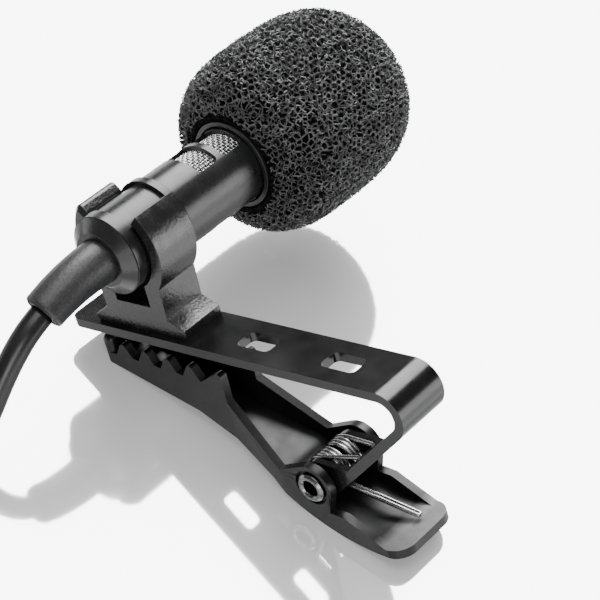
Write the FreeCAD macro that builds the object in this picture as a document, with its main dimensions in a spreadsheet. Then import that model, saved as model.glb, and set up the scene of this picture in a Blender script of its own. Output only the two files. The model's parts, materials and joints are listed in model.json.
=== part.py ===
import FreeCAD, Part
import math
import os
import Sketcher
from FreeCAD import Placement, Rotation, Vector

# Lavalier microphone on its clip, with its foam windscreen and its cord.
#
# Clip frame: the origin is the centre of the middle hole, on the upper face of the strip. +X runs
# along the strip to the U bend, +Y along the microphone to its foam, +Z up from the strip.
# World frame: the clip lies on a table on the toe and the belly of its lower jaw, so its frame is
# tilted about Y, and the origin is under the middle of the object, on the table.

doc = FreeCAD.newDocument("lavalier_microphone")
sheet = doc.addObject("Spreadsheet::Sheet", "Sizes")


# Sizes

class Size:
    """A number and the formula that gives it from the cells of the sheet."""

    def __init__(self, number, formula):
        self.number = number
        self.formula = formula

    def __add__(self, other):
        other = as_size(other)
        return Size(self.number + other.number, f"({self.formula} + {other.formula})")

    def __sub__(self, other):
        other = as_size(other)
        return Size(self.number - other.number, f"({self.formula} - {other.formula})")

    def __mul__(self, other):
        other = as_size(other)
        return Size(self.number * other.number, f"({self.formula} * {other.formula})")

    def __truediv__(self, other):
        other = as_size(other)
        return Size(self.number / other.number, f"({self.formula} / {other.formula})")

    def __neg__(self):
        return Size(-self.number, f"(0 - {self.formula})")


def as_size(value):
    """Turn a plain number into a size."""
    if isinstance(value, Size):
        return value
    return Size(float(value), f"({float(value)!r})")


def sine(angle):
    """Sine of an angle in degrees."""
    return Size(math.sin(math.radians(angle.number)), f"sin({angle.formula} * 1 deg)")


def cosine(angle):
    """Cosine of an angle in degrees."""
    return Size(math.cos(math.radians(angle.number)), f"cos({angle.formula} * 1 deg)")


DRIVING = {
    # strip of the arm
    "strip_width": 6.24,
    "strip_sheet": 1.0,
    "strip_front": 23.4,
    "strip_corner": 1.2,
    "hole_long": 4.13,
    "hole_wide": 2.45,
    "hole_corner": 0.6,
    "hole_pitch": 10.62,
    "bend_place": 16.6,
    "bend_radius": 2.7,
    "leg_slope": 41.3,
    "leg_length": 9.9,
    "leg_end_round": 0.55,
    "lug_inset": 0.3,
    "lug_sheet": 0.7,
    "lug_radius": 2.1,
    "lug_top_angle": 85.0,
    "lug_back_angle": 205.0,
    "lug_low_angle": 305.0,
    "fork_root": 0.12,
    "fork_over": 1.2,
    # lower jaw
    "jaw_sheet": 0.9,
    "jaw_gap": 0.1,
    "nose_width": 5.3,
    "nose_corner": 0.7,
    "nose_top": 1.9,
    "nose_wall": 1.45,
    "toe_place": 20.3,
    "toe_drop": 4.75,
    "front_run": 12.4,
    "front_slope": 16.2,
    "middle_run": 10.5,
    "middle_slope": 27.3,
    "lever_radius": 21.0,
    "lever_start": 43.0,
    "lever_end": -2.0,
    "lever_rim": 1.5,
    "lever_rim_turn": 20.0,
    "lever_tab_turn": 6.0,
    "lever_corner": 2.0,
    "flare_start": -4.0,
    "flare_end": 2.4,
    "flange_front": 4.2,
    "flange_rear": 1.5,
    "ear_radius": 2.35,
    "ear_low_angle": -30.0,
    "ear_high_angle": 110.0,
    "ear_notch_in": 0.45,
    "ear_notch_down": 1.4,
    "tooth_place": 17.25,
    "tooth_pitch": 3.05,
    "tooth_top": 2.4,
    "tooth_fall": 0.18,
    "tooth_depth": 1.35,
    "tooth_front": 1.2,
    "tooth_back": 1.0,
    "tooth_tip": 0.42,
    "tip_drop": 0.25,
    "tip_round": 0.45,
    "last_tooth_place": 4.3,
    "last_tooth_top": 3.1,
    "last_tooth_front": 2.6,
    # pivot pin and its spring
    "pin_slope": 31.25,
    "coil_room": 0.38,
    "pin_radius": 1.2,
    "pin_bore": 0.85,
    "pin_lip": 0.2,
    "pin_head": 1.55,
    "pin_stand": 0.35,
    "dish_radius": 1.9,
    "dish_depth": 0.4,
    "pin_edge": 0.25,
    "pin_play": 0.05,
    "wire_radius": 0.22,
    "coil_radius": 2.03,
    "coil_turns": 3.5,
    "coil_pitch": 0.46,
    "coil_end_play": 0.09,
    "spring_leg_in": 0.7,
    "spring_leg_reach": 0.4,
    "spring_leg_rest": 0.06,
    "spring_foot_slope": 3.1,
    "spring_foot_rest": 0.35,
    "spring_foot_aside": 1.1,
    # microphone
    "barrel_radius": 4.15,
    "barrel_wall": 0.5,
    "barrel_end": 18.5,
    "collar_step": 0.13,
    "spin_play": 0.08,
    "flange_play": 0.15,
    "rear_flange_step": 0.12,
    "rear_flange_length": 1.2,
    "front_flange_step": 0.33,
    "front_flange_length": 1.1,
    "flange_bevel": 0.25,
    "window_angle": 42.0,
    "window_first": 8.0,
    "window_length": 2.88,
    "window_bridge": 0.72,
    "window_corner": 0.5,
    "mesh_sheet": 0.15,
    "mesh_lap": 0.6,
    "cord_radius": 1.25,
    "boot_wall": 0.85,
    "boot_taper": 0.2,
    "boot_collar_step": 0.45,
    "boot_collar_length": 1.0,
    "boot_straight": 6.0,
    "boot_end": 12.5,
    "boot_sag": 26.0,
    "boot_lip": 0.45,
    "cap_rim": 0.62,
    "cap_cone_edge": 0.05,
    "cap_length": 1.05,
    "cap_spigot": 1.6,
    "cap_wall": 0.5,
    "cap_shell": 0.4,
    "clamp_wall": 0.4,
    "clamp_length": 2.2,
    "tail_length": 0.5,
    "front_cap_rim": 0.8,
    "front_cap_edge": 0.3,
    "front_cap_spigot": 0.9,
    "sound_hole": 0.42,
    "sound_edge": 0.85,
    "capsule_length": 2.7,
    "capsule_edge": 0.15,
    "gasket_sheet": 0.5,
    "gasket_play": 0.1,
    "board_sheet": 0.8,
    "lead_radius": 0.3,
    "lead_spacing": 1.8,
    # holder
    "axis_place": 13.72,
    "axis_height": 9.25,
    "holder_rear": 2.35,
    "holder_front": 2.8,
    "holder_wall": 1.75,
    "right_lip": 45.0,
    "left_lip": 134.0,
    "lip_round": 0.6,
    "bore_bevel": 0.45,
    "leg_turn": 48.8,
    "leg_lean": 0.2,
    "window_turn": 35.2,
    "foot_half": 6.27,
    "foot_edge": 1.0,
    "foot_rise": 1.9,
    "foot_round": 0.6,
    "window_half": 2.35,
    "window_floor": 3.0,
    "peg_play": 0.2,
    "peg_barb": 0.35,
    "peg_barb_height": 0.45,
    # windscreen
    "foam_radius": 9.9,
    "foam_mouth": 14.4,
    "foam_near": 10.3,
    "foam_far": 11.7,
    "foam_near_power": 3.7,
    "foam_far_power": 2.95,
    "foam_pole": 0.25,
    "foam_gap": 1.2,
    "ring_wall": 0.49,
    "ring_play": 0.15,
    "ring_length": 1.5,
    "ring_recess": 0.27,
    # coil of cord
    "coil_middle": 14.5,
    "coil_section_wide": 6.2,
    "coil_section_high": 5.0,
    "tie_width": 6.0,
    "tie_sheet": 0.7,
    "tie_place": 250.0,
    "plug_aside": 1.2,
    "plug_ahead": 16.0,
    # plug, 3.5 mm
    "plug_radius": 1.75,
    "plug_core": 0.5,
    "plug_anchor": 1.4,
    "plug_anchor_length": 1.0,
    "plug_length": 14.0,
    "plug_ring_length": 2.2,
    "plug_insulator": 0.7,
    "tip_length": 3.2,
    "tip_collar": 0.35,
    "tip_neck": 1.25,
    "tip_neck_place": 2.2,
    "tip_shoulder": 1.2,
    "tip_slope": 0.35,
    "tip_slope_radius": 0.75,
    "tip_flat": 0.35,
    "grip_radius": 3.6,
    "grip_length": 17.0,
    "grip_bevel": 0.8,
    "relief_length": 8.0,
    "relief_start": 1.7,
    "relief_end": 2.6,
    "relief_spigot": 2.1,
    "relief_spigot_length": 1.5,
}

for row, (name, number) in enumerate(DRIVING.items(), start=1):
    sheet.set(f"A{row}", name)
    sheet.set(f"B{row}", str(number))
    sheet.setAlias(f"B{row}", name)
doc.recompute()


class Sizes:
    """The cells of the sheet by name."""

    def __getattr__(self, name):
        return Size(float(sheet.get(name)), f"Sizes.{name}")


z = Sizes()
ZERO = as_size(0)


# Drawing

def body_named(label):
    """A new body; its placement is set once the tilt of the clip is known."""
    body = doc.addObject("PartDesign::Body", label)
    body.Label = label
    return body


def sketch_on(body, role, offset=None):
    """A new sketch on one of the body's own planes, moved along the plane's normal by offset."""
    sketch = body.newObject("Sketcher::SketchObject", f"{body.Label}_sketch")
    plane = next(item for item in body.Origin.OriginFeatures if item.Role == role)
    sketch.AttachmentSupport = [(plane, "")]
    sketch.MapMode = "FlatFace"
    if offset is not None:
        sketch.setExpression(".AttachmentOffset.Base.z", as_size(offset).formula)
    return sketch


def arc_between(start, end, radius):
    """Short arc from start to end: counter-clockwise for a radius above zero, else clockwise."""
    chord = end - start
    half = chord.Length / 2
    rise = math.sqrt(max(radius * radius - half * half, 0.0))
    left = Vector(-chord.y, chord.x, 0).normalize()
    side = 1 if radius > 0 else -1
    centre = start + chord * 0.5 + left * (rise * side)
    first, last = (start, end) if radius > 0 else (end, start)
    circle = Part.Circle(centre, Vector(0, 0, 1), abs(radius))
    return Part.ArcOfCircle(circle, circle.parameter(first), circle.parameter(last))


def outline(sketch, corners):
    """Closed outline. A corner is (x, y), or (x, y, radius) where an arc leads to the next."""
    corners = [(as_size(c[0]), as_size(c[1])) + tuple(c[2:]) for c in corners]
    points = [Vector(c[0].number, c[1].number, 0) for c in corners]
    first = sketch.GeometryCount
    sides = []
    for index, corner in enumerate(corners):
        start = points[index]
        end = points[(index + 1) % len(points)]
        if len(corner) > 2:
            sides.append(arc_between(start, end, as_size(corner[2]).number))
        else:
            sides.append(Part.LineSegment(start, end))
    sketch.addGeometry(sides, False)
    for index, corner in enumerate(corners):
        side = first + index
        clockwise = len(corner) > 2 and as_size(corner[2]).number < 0
        begin = 2 if clockwise else 1
        finish = 1 if clockwise else 2
        follower = (index + 1) % len(corners)
        following = corners[follower]
        next_begin = 2 if len(following) > 2 and as_size(following[2]).number < 0 else 1
        sketch.addConstraint(
            Sketcher.Constraint("Coincident", side, finish, first + follower, next_begin))
        for kind, value in (("DistanceX", corner[0]), ("DistanceY", corner[1])):
            place = sketch.addConstraint(Sketcher.Constraint(kind, -1, 1, side, begin, value.number))
            sketch.setExpression(f"Constraints[{place}]", value.formula)
        if len(corner) > 2:
            radius = as_size(corner[2])
            radius = -radius if clockwise else radius
            place = sketch.addConstraint(Sketcher.Constraint("Radius", side, radius.number))
            sketch.setExpression(f"Constraints[{place}]", radius.formula)


def circle(sketch, across, up, radius):
    """Full circle about (across, up)."""
    across = as_size(across)
    up = as_size(up)
    side = sketch.addGeometry(
        Part.Circle(Vector(across.number, up.number, 0), Vector(0, 0, 1), radius.number), False)
    for kind, value in (("DistanceX", across), ("DistanceY", up)):
        place = sketch.addConstraint(Sketcher.Constraint(kind, -1, 1, side, 3, value.number))
        sketch.setExpression(f"Constraints[{place}]", value.formula)
    place = sketch.addConstraint(Sketcher.Constraint("Radius", side, radius.number))
    sketch.setExpression(f"Constraints[{place}]", radius.formula)


def rounded_slot(sketch, across, up, long, wide, corner):
    """Rectangle with round corners about (across, up)."""
    across = as_size(across)
    half = long / 2
    side = wide / 2
    outline(sketch, [
        (across - half + corner, up - side),
        (across + half - corner, up - side, corner),
        (across + half, up - side + corner),
        (across + half, up + side - corner, corner),
        (across + half - corner, up + side),
        (across - half + corner, up + side, corner),
        (across - half, up + side - corner),
        (across - half, up - side + corner, corner),
    ])


def feature(body, kind, sketch, **bound):
    """A pad, pocket, revolution or groove of a sketch, with its sizes bound to the sheet."""
    item = body.newObject(f"PartDesign::{kind}", f"{body.Label}_{kind.lower()}")
    item.Profile = sketch
    for name, value in bound.items():
        if isinstance(value, Size):
            setattr(item, name, value.number)
            item.setExpression(name, value.formula)
        else:
            setattr(item, name, value)
    sketch.Visibility = False
    return item


def turned(label, corners):
    """Body turned about its own Y axis from an outline of (place along the axis, radius)."""
    body = body_named(label)
    sketch = sketch_on(body, "YZ_Plane")
    outline(sketch, corners)
    feature(body, "Revolution", sketch, ReferenceAxis=(sketch, ["H_Axis"]), Angle=360.0)
    return body


def edges_where(shape, test):
    """Names of the edges whose middle point passes the test."""
    names = []
    for index, edge in enumerate(shape.Edges, start=1):
        middle = edge.valueAt((edge.FirstParameter + edge.LastParameter) / 2)
        if test(edge, middle):
            names.append(f"Edge{index}")
    return names


def rounded(body, base, radius, test, kind="Fillet"):
    """Fillet or chamfer on the edges of base that pass the test."""
    doc.recompute()
    item = body.newObject(f"PartDesign::{kind}", f"{body.Label}_{kind.lower()}")
    item.Base = (base, edges_where(base.Shape, test))
    size_name = "Radius" if kind == "Fillet" else "Size"
    setattr(item, size_name, radius.number)
    item.setExpression(size_name, radius.formula)
    body.Tip = item
    return item


# Where the jaw, the pin and the leg of the arm lie in the side view

def on_circle(centre, radius, angle):
    """Point of a circle at an angle in degrees from +X."""
    return (centre[0] + radius * cosine(angle), centre[1] + radius * sine(angle))


def between(start, end, share):
    """Point at a share of the way from start to end."""
    return tuple(start[i] + (end[i] - start[i]) * share for i in (0, 1))


jaw_width = z.strip_width + (z.jaw_gap + z.jaw_sheet) * 2
toe = (-z.toe_place, -z.toe_drop)
knee_front = (toe[0] + z.front_run * cosine(z.front_slope),
              toe[1] - z.front_run * sine(z.front_slope))
knee_rear = (knee_front[0] + z.middle_run * cosine(z.middle_slope),
             knee_front[1] - z.middle_run * sine(z.middle_slope))
lever_centre = (knee_rear[0] + z.lever_radius * sine(z.lever_start),
                knee_rear[1] + z.lever_radius * cosine(z.lever_start))


def lever_point(depth, slope):
    """Point of the lever's curve where it falls at a slope, at a depth inside the sheet."""
    radius = z.lever_radius - depth
    return (lever_centre[0] - radius * sine(slope), lever_centre[1] - radius * cosine(slope))


pin = lever_point(z.jaw_sheet + z.coil_room + z.wire_radius + z.coil_radius, z.pin_slope)
bend_centre = (z.bend_place, -z.bend_radius)
leg_start_angle = z.leg_slope - 90
leg_top_outer = on_circle(bend_centre, z.bend_radius, leg_start_angle)
leg_top_inner = on_circle(bend_centre, z.bend_radius - z.strip_sheet, leg_start_angle)
leg_end_outer = on_circle(leg_top_outer, -z.leg_length, z.leg_slope)
leg_end_inner = on_circle(leg_top_inner, -z.leg_length, z.leg_slope)


# Clip arm: strip with holes, U bend, leg and two pivot lugs

def make_clip_arm():
    body = body_named("clip_arm")
    side = sketch_on(body, "XZ_Plane")
    outline(side, [
        (-z.strip_front, 0),
        (-z.strip_front, -z.strip_sheet),
        (z.bend_place, -z.strip_sheet, -(z.bend_radius - z.strip_sheet)),
        leg_top_inner,
        leg_end_inner + (z.strip_sheet * z.leg_end_round,),
        leg_end_outer,
        leg_top_outer + (z.bend_radius,),
        (z.bend_place, 0),
    ])
    feature(body, "Pad", side, Length=z.strip_width, Midplane=True)
    lug = sketch_on(body, "XZ_Plane")
    lug_top = on_circle(pin, z.lug_radius, z.lug_top_angle)
    lug_low = on_circle(pin, z.lug_radius, z.lug_low_angle)
    outline(lug, [
        leg_end_inner,
        lug_top + (z.lug_radius,),
        on_circle(pin, z.lug_radius, z.lug_back_angle) + (z.lug_radius,),
        lug_low,
        leg_end_outer,
    ])
    lug_width = z.strip_width - z.lug_inset * 2
    feature(body, "Pad", lug, Length=lug_width, Midplane=True)
    fork = sketch_on(body, "XZ_Plane")
    root_inner = between(leg_end_inner, lug_top, z.fork_root)
    root_outer = between(leg_end_outer, lug_low, z.fork_root)
    reach = z.lug_radius + z.fork_over
    outline(fork, [
        (root_inner[0], root_inner[1] + z.fork_over),
        (pin[0] - reach, pin[1] + reach),
        (pin[0] - reach, pin[1] - reach),
        (root_outer[0], pin[1] - reach),
    ])
    feature(body, "Pocket", fork, Length=lug_width - z.lug_sheet * 2, Midplane=True)
    eye = sketch_on(body, "XZ_Plane")
    circle(eye, pin[0], pin[1], z.pin_radius + z.pin_play)
    feature(body, "Pocket", eye, Type=1, Midplane=True)
    holes = sketch_on(body, "XY_Plane")
    for place in (-z.axis_place, ZERO, z.hole_pitch):
        rounded_slot(holes, place, ZERO, z.hole_long, z.hole_wide, z.hole_corner)
    punched = feature(body, "Pocket", holes, Length=z.strip_sheet * 1.5)
    rounded(body, punched, z.strip_corner,
            lambda edge, middle: abs(middle.x + z.strip_front.number) < 0.01
            and abs(abs(middle.y) - z.strip_width.number / 2) < 0.01
            and edge.Length < z.strip_sheet.number * 1.1)
    return body


# Lower jaw: stamped channel with teeth, ears and a thumb lever

def inside_knee(knee, slope_before, slope_after, thickness):
    """Corner of a bent sheet on its inner side."""
    mean = (slope_before + slope_after) / 2
    reach = thickness / cosine((slope_after - slope_before) / 2)
    return (knee[0] + reach * sine(mean), knee[1] + reach * cosine(mean))


def teeth():
    """Upper edge of the jaw from its last, broad tooth to its first."""
    last = -z.last_tooth_place
    last_top = -z.last_tooth_top
    edge = [
        (last + z.tooth_tip, last_top - z.tooth_tip, z.tip_round),
        (last - z.tip_drop, last_top),
        (last - z.last_tooth_front, last_top - z.tooth_depth),
    ]
    for step in (3, 2, 1, 0):
        place = z.tooth_pitch * step - z.tooth_place
        top = -z.tooth_top - z.tooth_fall * step
        edge.append((place + z.tooth_back, top - z.tooth_depth))
        edge.append((place + z.tooth_tip, top - z.tip_drop, z.tip_round))
        edge.append((place - z.tooth_tip, top - z.tip_drop))
        edge.append((place - z.tooth_front, top - z.tooth_depth))
    return edge


def narrow_to_nose(body, nose_half, jaw_half):
    """Cut both sides of the jaw, in plan, from its full width down to its nose."""
    plan = sketch_on(body, "XY_Plane")
    beyond = z.strip_front * 1.5
    for way in (1, -1):
        outline(plan, [
            (-beyond, nose_half * way),
            (-beyond, jaw_width * way),
            (z.flare_end, jaw_width * way),
            (z.flare_end, jaw_half * way),
            (z.flare_start, nose_half * way),
        ])
    return feature(body, "Pocket", plan, Type=1, Midplane=True)


def make_jaw_blank():
    """The jaw's outer form: its side view, narrowed to the nose in plan."""
    body = body_named("jaw_blank")
    side = sketch_on(body, "XZ_Plane")
    ear_low = on_circle(pin, z.ear_radius, z.ear_low_angle)
    ear_high = on_circle(pin, z.ear_radius, z.ear_high_angle)
    fall = sine(z.middle_slope) / cosine(z.middle_slope)
    flange_top = knee_front[1] - (z.flare_start - knee_front[0]) * fall + z.flange_front
    nose_inside = toe[0] + z.nose_wall
    outline(side, [
        toe,
        knee_front,
        knee_rear + (z.lever_radius,),
        lever_point(ZERO, z.lever_end),
        lever_point(z.jaw_sheet, z.lever_end),
        lever_point(z.jaw_sheet, z.lever_end + z.lever_tab_turn),
        lever_point(z.jaw_sheet + z.lever_rim, z.lever_end + z.lever_rim_turn),
        (ear_low[0] - z.ear_notch_in, ear_low[1] - z.ear_notch_down),
        ear_low + (z.ear_radius,),
        ear_high,
        (z.flare_end, knee_rear[1] + z.flange_rear),
        (z.flare_start, flange_top),
    ] + teeth() + [
        (nose_inside, -z.tooth_top - z.tooth_depth),
        (nose_inside, -z.nose_top - z.tooth_tip, z.tip_round),
        (nose_inside - z.tooth_tip, -z.nose_top),
        (toe[0] + z.tooth_tip, -z.nose_top, z.tip_round),
        (toe[0], -z.nose_top - z.tooth_tip),
    ])
    feature(body, "Pad", side, Length=jaw_width, Midplane=True)
    narrowed = narrow_to_nose(body, z.nose_width / 2, jaw_width / 2)
    nose = rounded(body, narrowed, z.nose_corner,
                   lambda edge, middle: abs(middle.x - toe[0].number) < 0.01
                   and abs(abs(middle.y) - z.nose_width.number / 2) < 0.01
                   and edge.Length > z.jaw_sheet.number)
    rounded(body, nose, z.lever_corner,
            lambda edge, middle: middle.x > lever_centre[0].number
            and abs(abs(middle.y) - jaw_width.number / 2) < 0.01
            and abs(edge.Length - z.jaw_sheet.number) < 0.05)
    return body


def make_jaw_hollow():
    """The inside of the channel: its side view, narrowed to the nose in plan."""
    body = body_named("jaw_hollow")
    side = sketch_on(body, "XZ_Plane")
    above = z.jaw_sheet * 5
    nose_inside = toe[0] + z.jaw_sheet
    floor_at_nose = toe[1] + z.jaw_sheet * (as_size(1) - sine(z.front_slope)) / cosine(z.front_slope)
    lever_back = lever_point(z.jaw_sheet, z.lever_end + z.lever_tab_turn)
    outline(side, [
        (nose_inside, floor_at_nose),
        inside_knee(knee_front, z.front_slope, z.middle_slope, z.jaw_sheet),
        inside_knee(knee_rear, z.middle_slope, z.lever_start, z.jaw_sheet),
        lever_point(z.jaw_sheet, z.lever_start * 0.95) + (z.lever_radius - z.jaw_sheet,),
        lever_back,
        (lever_back[0], above),
        (nose_inside, above),
    ])
    feature(body, "Pad", side, Length=jaw_width - z.jaw_sheet * 2, Midplane=True)
    narrow_to_nose(body, z.nose_width / 2 - z.jaw_sheet, jaw_width / 2 - z.jaw_sheet)
    return body


def make_lower_jaw():
    channel = doc.addObject("Part::Cut", "channel")
    channel.Base = make_jaw_blank()
    channel.Tool = make_jaw_hollow()
    beyond = jaw_width
    floor = jaw_width / 2 - z.dish_depth
    bore = turned("pin_bore", [
        (-beyond, ZERO),
        (beyond, ZERO),
        (beyond, z.dish_radius),
        (floor, z.dish_radius),
        (floor, z.pin_radius),
        (-floor, z.pin_radius),
        (-floor, z.dish_radius),
        (-beyond, z.dish_radius),
    ])
    bore.Placement = Placement(Vector(pin[0].number, 0, pin[1].number), Rotation())
    jaw = doc.addObject("Part::Cut", "lower_jaw")
    jaw.Base = channel
    jaw.Tool = bore
    jaw.Label = "lower_jaw"
    return jaw


# Pivot pin and torsion spring, made about the pin's own axis

def make_pivot_pin():
    half = jaw_width / 2 - z.dish_depth
    end = jaw_width / 2 + z.pin_stand
    return turned("pivot_pin", [
        (-end, z.pin_head - z.pin_edge),
        (-end + z.pin_edge, z.pin_head),
        (-half, z.pin_head),
        (-half, z.pin_radius),
        (half, z.pin_radius),
        (half, z.pin_head),
        (end - z.pin_edge, z.pin_head),
        (end, z.pin_head - z.pin_edge),
        (end, z.pin_bore + z.pin_lip),
        (end - z.pin_lip, z.pin_bore),
        (-end + z.pin_lip, z.pin_bore),
        (-end, z.pin_bore + z.pin_lip),
    ])


def spring_half(way):
    """Points of one coil of the spring, from its free leg on the arm to its foot on the lever."""
    radius = z.coil_radius.number
    rise = z.coil_pitch.number * z.coil_turns.number
    lug_inside = z.strip_width / 2 - z.lug_inset - z.lug_sheet
    outer = (lug_inside - z.wire_radius - z.coil_end_play).number
    over_leg = (z.wire_radius + z.spring_leg_rest).number
    slope = math.radians(z.leg_slope.number)
    reach = z.spring_leg_reach.number
    leg_x = (leg_end_inner[0] - pin[0]).number + reach * math.cos(slope) - over_leg * math.sin(slope)
    leg_z = (leg_end_inner[1] - pin[1]).number + reach * math.sin(slope) + over_leg * math.cos(slope)
    points = [Vector(leg_x, way * (outer - z.spring_leg_in.number), leg_z)]
    steps = round(12 * z.coil_turns.number)
    for step in range(steps + 1):
        share = step / steps
        angle = math.radians(90 + 360 * z.coil_turns.number * share)
        points.append(Vector(radius * math.cos(angle), way * (outer - rise * share),
                             radius * math.sin(angle)))
    foot = lever_point(z.jaw_sheet + z.wire_radius + z.spring_foot_rest, z.spring_foot_slope)
    foot_side = way * (outer - rise) + z.spring_foot_aside.number
    points.append(Vector((foot[0] - pin[0]).number, foot_side, (foot[1] - pin[1]).number))
    return points


def make_torsion_spring():
    """Double torsion spring from one wire: two coils round the pin, joined by their feet."""
    route = spring_half(1) + spring_half(-1)[::-1]
    path = rounded_path(route)[0]
    profile = Part.Wire(Part.makeCircle(z.wire_radius.number, route[0], route[1] - route[0]))
    item = doc.addObject("Part::Feature", "torsion_spring")
    item.Shape = path.makePipeShell([profile], True, True)
    item.Label = "torsion_spring"
    return item


# Radii of the microphone, from its cord outwards and from its barrel inwards

boot_tip = z.cord_radius + z.boot_wall
boot_root = boot_tip + z.boot_taper
boot_collar = boot_root + z.boot_collar_step
tail_bore = boot_collar + z.cap_shell
cap_small = boot_root + z.cap_rim
barrel_bore = z.barrel_radius - z.barrel_wall
collar_radius = z.barrel_radius - z.collar_step
rear_flange = z.barrel_radius + z.rear_flange_step
front_flange = z.barrel_radius + z.front_flange_step
holder_bore = collar_radius + z.spin_play
holder_outer = holder_bore + z.holder_wall
gasket_radius = barrel_bore - z.mesh_sheet - z.gasket_play
capsule_radius = gasket_radius - z.gasket_sheet

# Places along its axis

collar_rear = -z.holder_rear - z.flange_play
collar_front = z.holder_front + z.flange_play
flange_rear = collar_rear - z.rear_flange_length
flange_front = collar_front + z.front_flange_length
cap_end = flange_rear - z.cap_length
boot_start = cap_end + z.cap_wall
clamp_start = boot_start + z.boot_collar_length
clamp_end = clamp_start + z.clamp_length
tail_end = clamp_end + z.tail_length
window_end = z.window_first + z.window_length * 2 + z.window_bridge
capsule_front = z.barrel_end - z.front_cap_spigot
capsule_back = capsule_front - z.capsule_length
board_back = capsule_back - z.board_sheet
bow_radius = (z.boot_end - z.boot_straight) / sine(z.boot_sag)


# Holder: C ring on a foot, about the microphone's axis

def make_mic_holder():
    body = body_named("mic_holder")
    side = sketch_on(body, "XZ_Plane", -z.holder_front)
    centre = (ZERO, ZERO)
    foot_bottom = -z.axis_height
    foot_top = foot_bottom + z.foot_rise
    floor = foot_bottom + z.window_floor
    down = as_size(270)
    leg_right = on_circle(centre, holder_outer, down + z.leg_turn)
    leg_left = on_circle(centre, holder_outer, down - z.leg_turn)
    lip_left = on_circle(centre, holder_outer, z.left_lip)
    outline(side, [
        on_circle(centre, holder_outer, z.right_lip) + (-holder_outer,),
        leg_right,
        (leg_right[0] - z.leg_lean, foot_top),
        (z.foot_half, foot_bottom + z.foot_edge),
        (z.foot_half, foot_bottom),
        (-z.foot_half + z.foot_round, foot_bottom, -z.foot_round),
        (-z.foot_half, foot_bottom + z.foot_round),
        (leg_left[0] + z.leg_lean, foot_top),
        leg_left + (-holder_outer,),
        lip_left,
        on_circle(centre, holder_bore, z.left_lip) + (holder_bore,),
        on_circle(centre, holder_bore, down - z.window_turn),
        (-z.window_half, floor),
        (z.window_half, floor),
        on_circle(centre, holder_bore, down + z.window_turn) + (holder_bore,),
        on_circle(centre, holder_bore, z.right_lip),
    ])
    width = z.holder_front + z.holder_rear
    ring = feature(body, "Pad", side, Length=width)
    lip = rounded(body, ring, z.lip_round,
                  lambda edge, middle: abs(edge.Length - width.number) < 0.01
                  and math.hypot(middle.x - lip_left[0].number,
                                 middle.z - lip_left[1].number) < z.holder_wall.number * 1.05)
    rounded(body, lip, z.bore_bevel,
            lambda edge, middle: abs(math.hypot(middle.x, middle.z) - holder_bore.number) < 0.01
            and abs(middle.y + z.holder_rear.number) < 0.01, kind="Chamfer")
    peg = sketch_on(body, "XZ_Plane")
    half = z.hole_long / 2 - z.peg_play
    under = foot_bottom - z.strip_sheet
    outline(peg, [
        (-half, foot_bottom),
        (-half, under),
        (-half - z.peg_barb, under),
        (-half, under - z.peg_barb_height),
        (half, under - z.peg_barb_height),
        (half + z.peg_barb, under),
        (half, under),
        (half, foot_bottom),
    ])
    feature(body, "Pad", peg, Length=z.hole_wide - z.peg_play * 2, Midplane=True)
    return body


# Microphone, turned about its own axis

def make_mic_barrel():
    body = turned("mic_barrel", [
        (flange_rear, rear_flange),
        (flange_rear, tail_bore),
        (collar_front, tail_bore),
        (flange_front, barrel_bore),
        (z.barrel_end, barrel_bore),
        (z.barrel_end, z.barrel_radius),
        (flange_front, z.barrel_radius),
        (flange_front, front_flange - z.flange_bevel),
        (flange_front - z.flange_bevel, front_flange),
        (collar_front, front_flange),
        (collar_front, collar_radius),
        (collar_rear, collar_radius),
        (collar_rear, rear_flange),
    ])
    cut = sketch_on(body, "XY_Plane")
    wide = z.barrel_radius * sine(z.window_angle) * 2
    for number in (0, 1):
        middle = z.window_first + z.window_length / 2 + (z.window_length + z.window_bridge) * number
        rounded_slot(cut, ZERO, middle, wide, z.window_length, z.window_corner)
    feature(body, "Pocket", cut, Type=1, Midplane=True)
    turned("grille_mesh", [
        (z.window_first - z.mesh_lap, barrel_bore - z.mesh_sheet),
        (window_end + z.mesh_lap, barrel_bore - z.mesh_sheet),
        (window_end + z.mesh_lap, barrel_bore),
        (z.window_first - z.mesh_lap, barrel_bore),
    ])


def sagging_loft(body, kind, radii):
    """Loft along the bow in which the boot sags, through circles at even turns."""
    sections = []
    for number, radius in enumerate(radii):
        turn = z.boot_sag * (number / (len(radii) - 1))
        sketch = sketch_on(body, "XZ_Plane")
        sketch.AttachmentOffset = Placement(Vector(), Rotation(Vector(1, 0, 0), turn.number))
        fall = bow_radius * (as_size(1) - cosine(turn))
        ahead = z.boot_straight + bow_radius * sine(turn)
        sketch.setExpression(".AttachmentOffset.Base.y", (-fall).formula)
        sketch.setExpression(".AttachmentOffset.Base.z", ahead.formula)
        sketch.setExpression(".AttachmentOffset.Rotation.Angle", turn.formula)
        circle(sketch, ZERO, ZERO, radius)
        sections.append(sketch)
    loft = body.newObject(f"PartDesign::{kind}", f"{body.Label}_{kind.lower()}")
    loft.Profile = sections[0]
    loft.Sections = sections[1:]
    return loft


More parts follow.
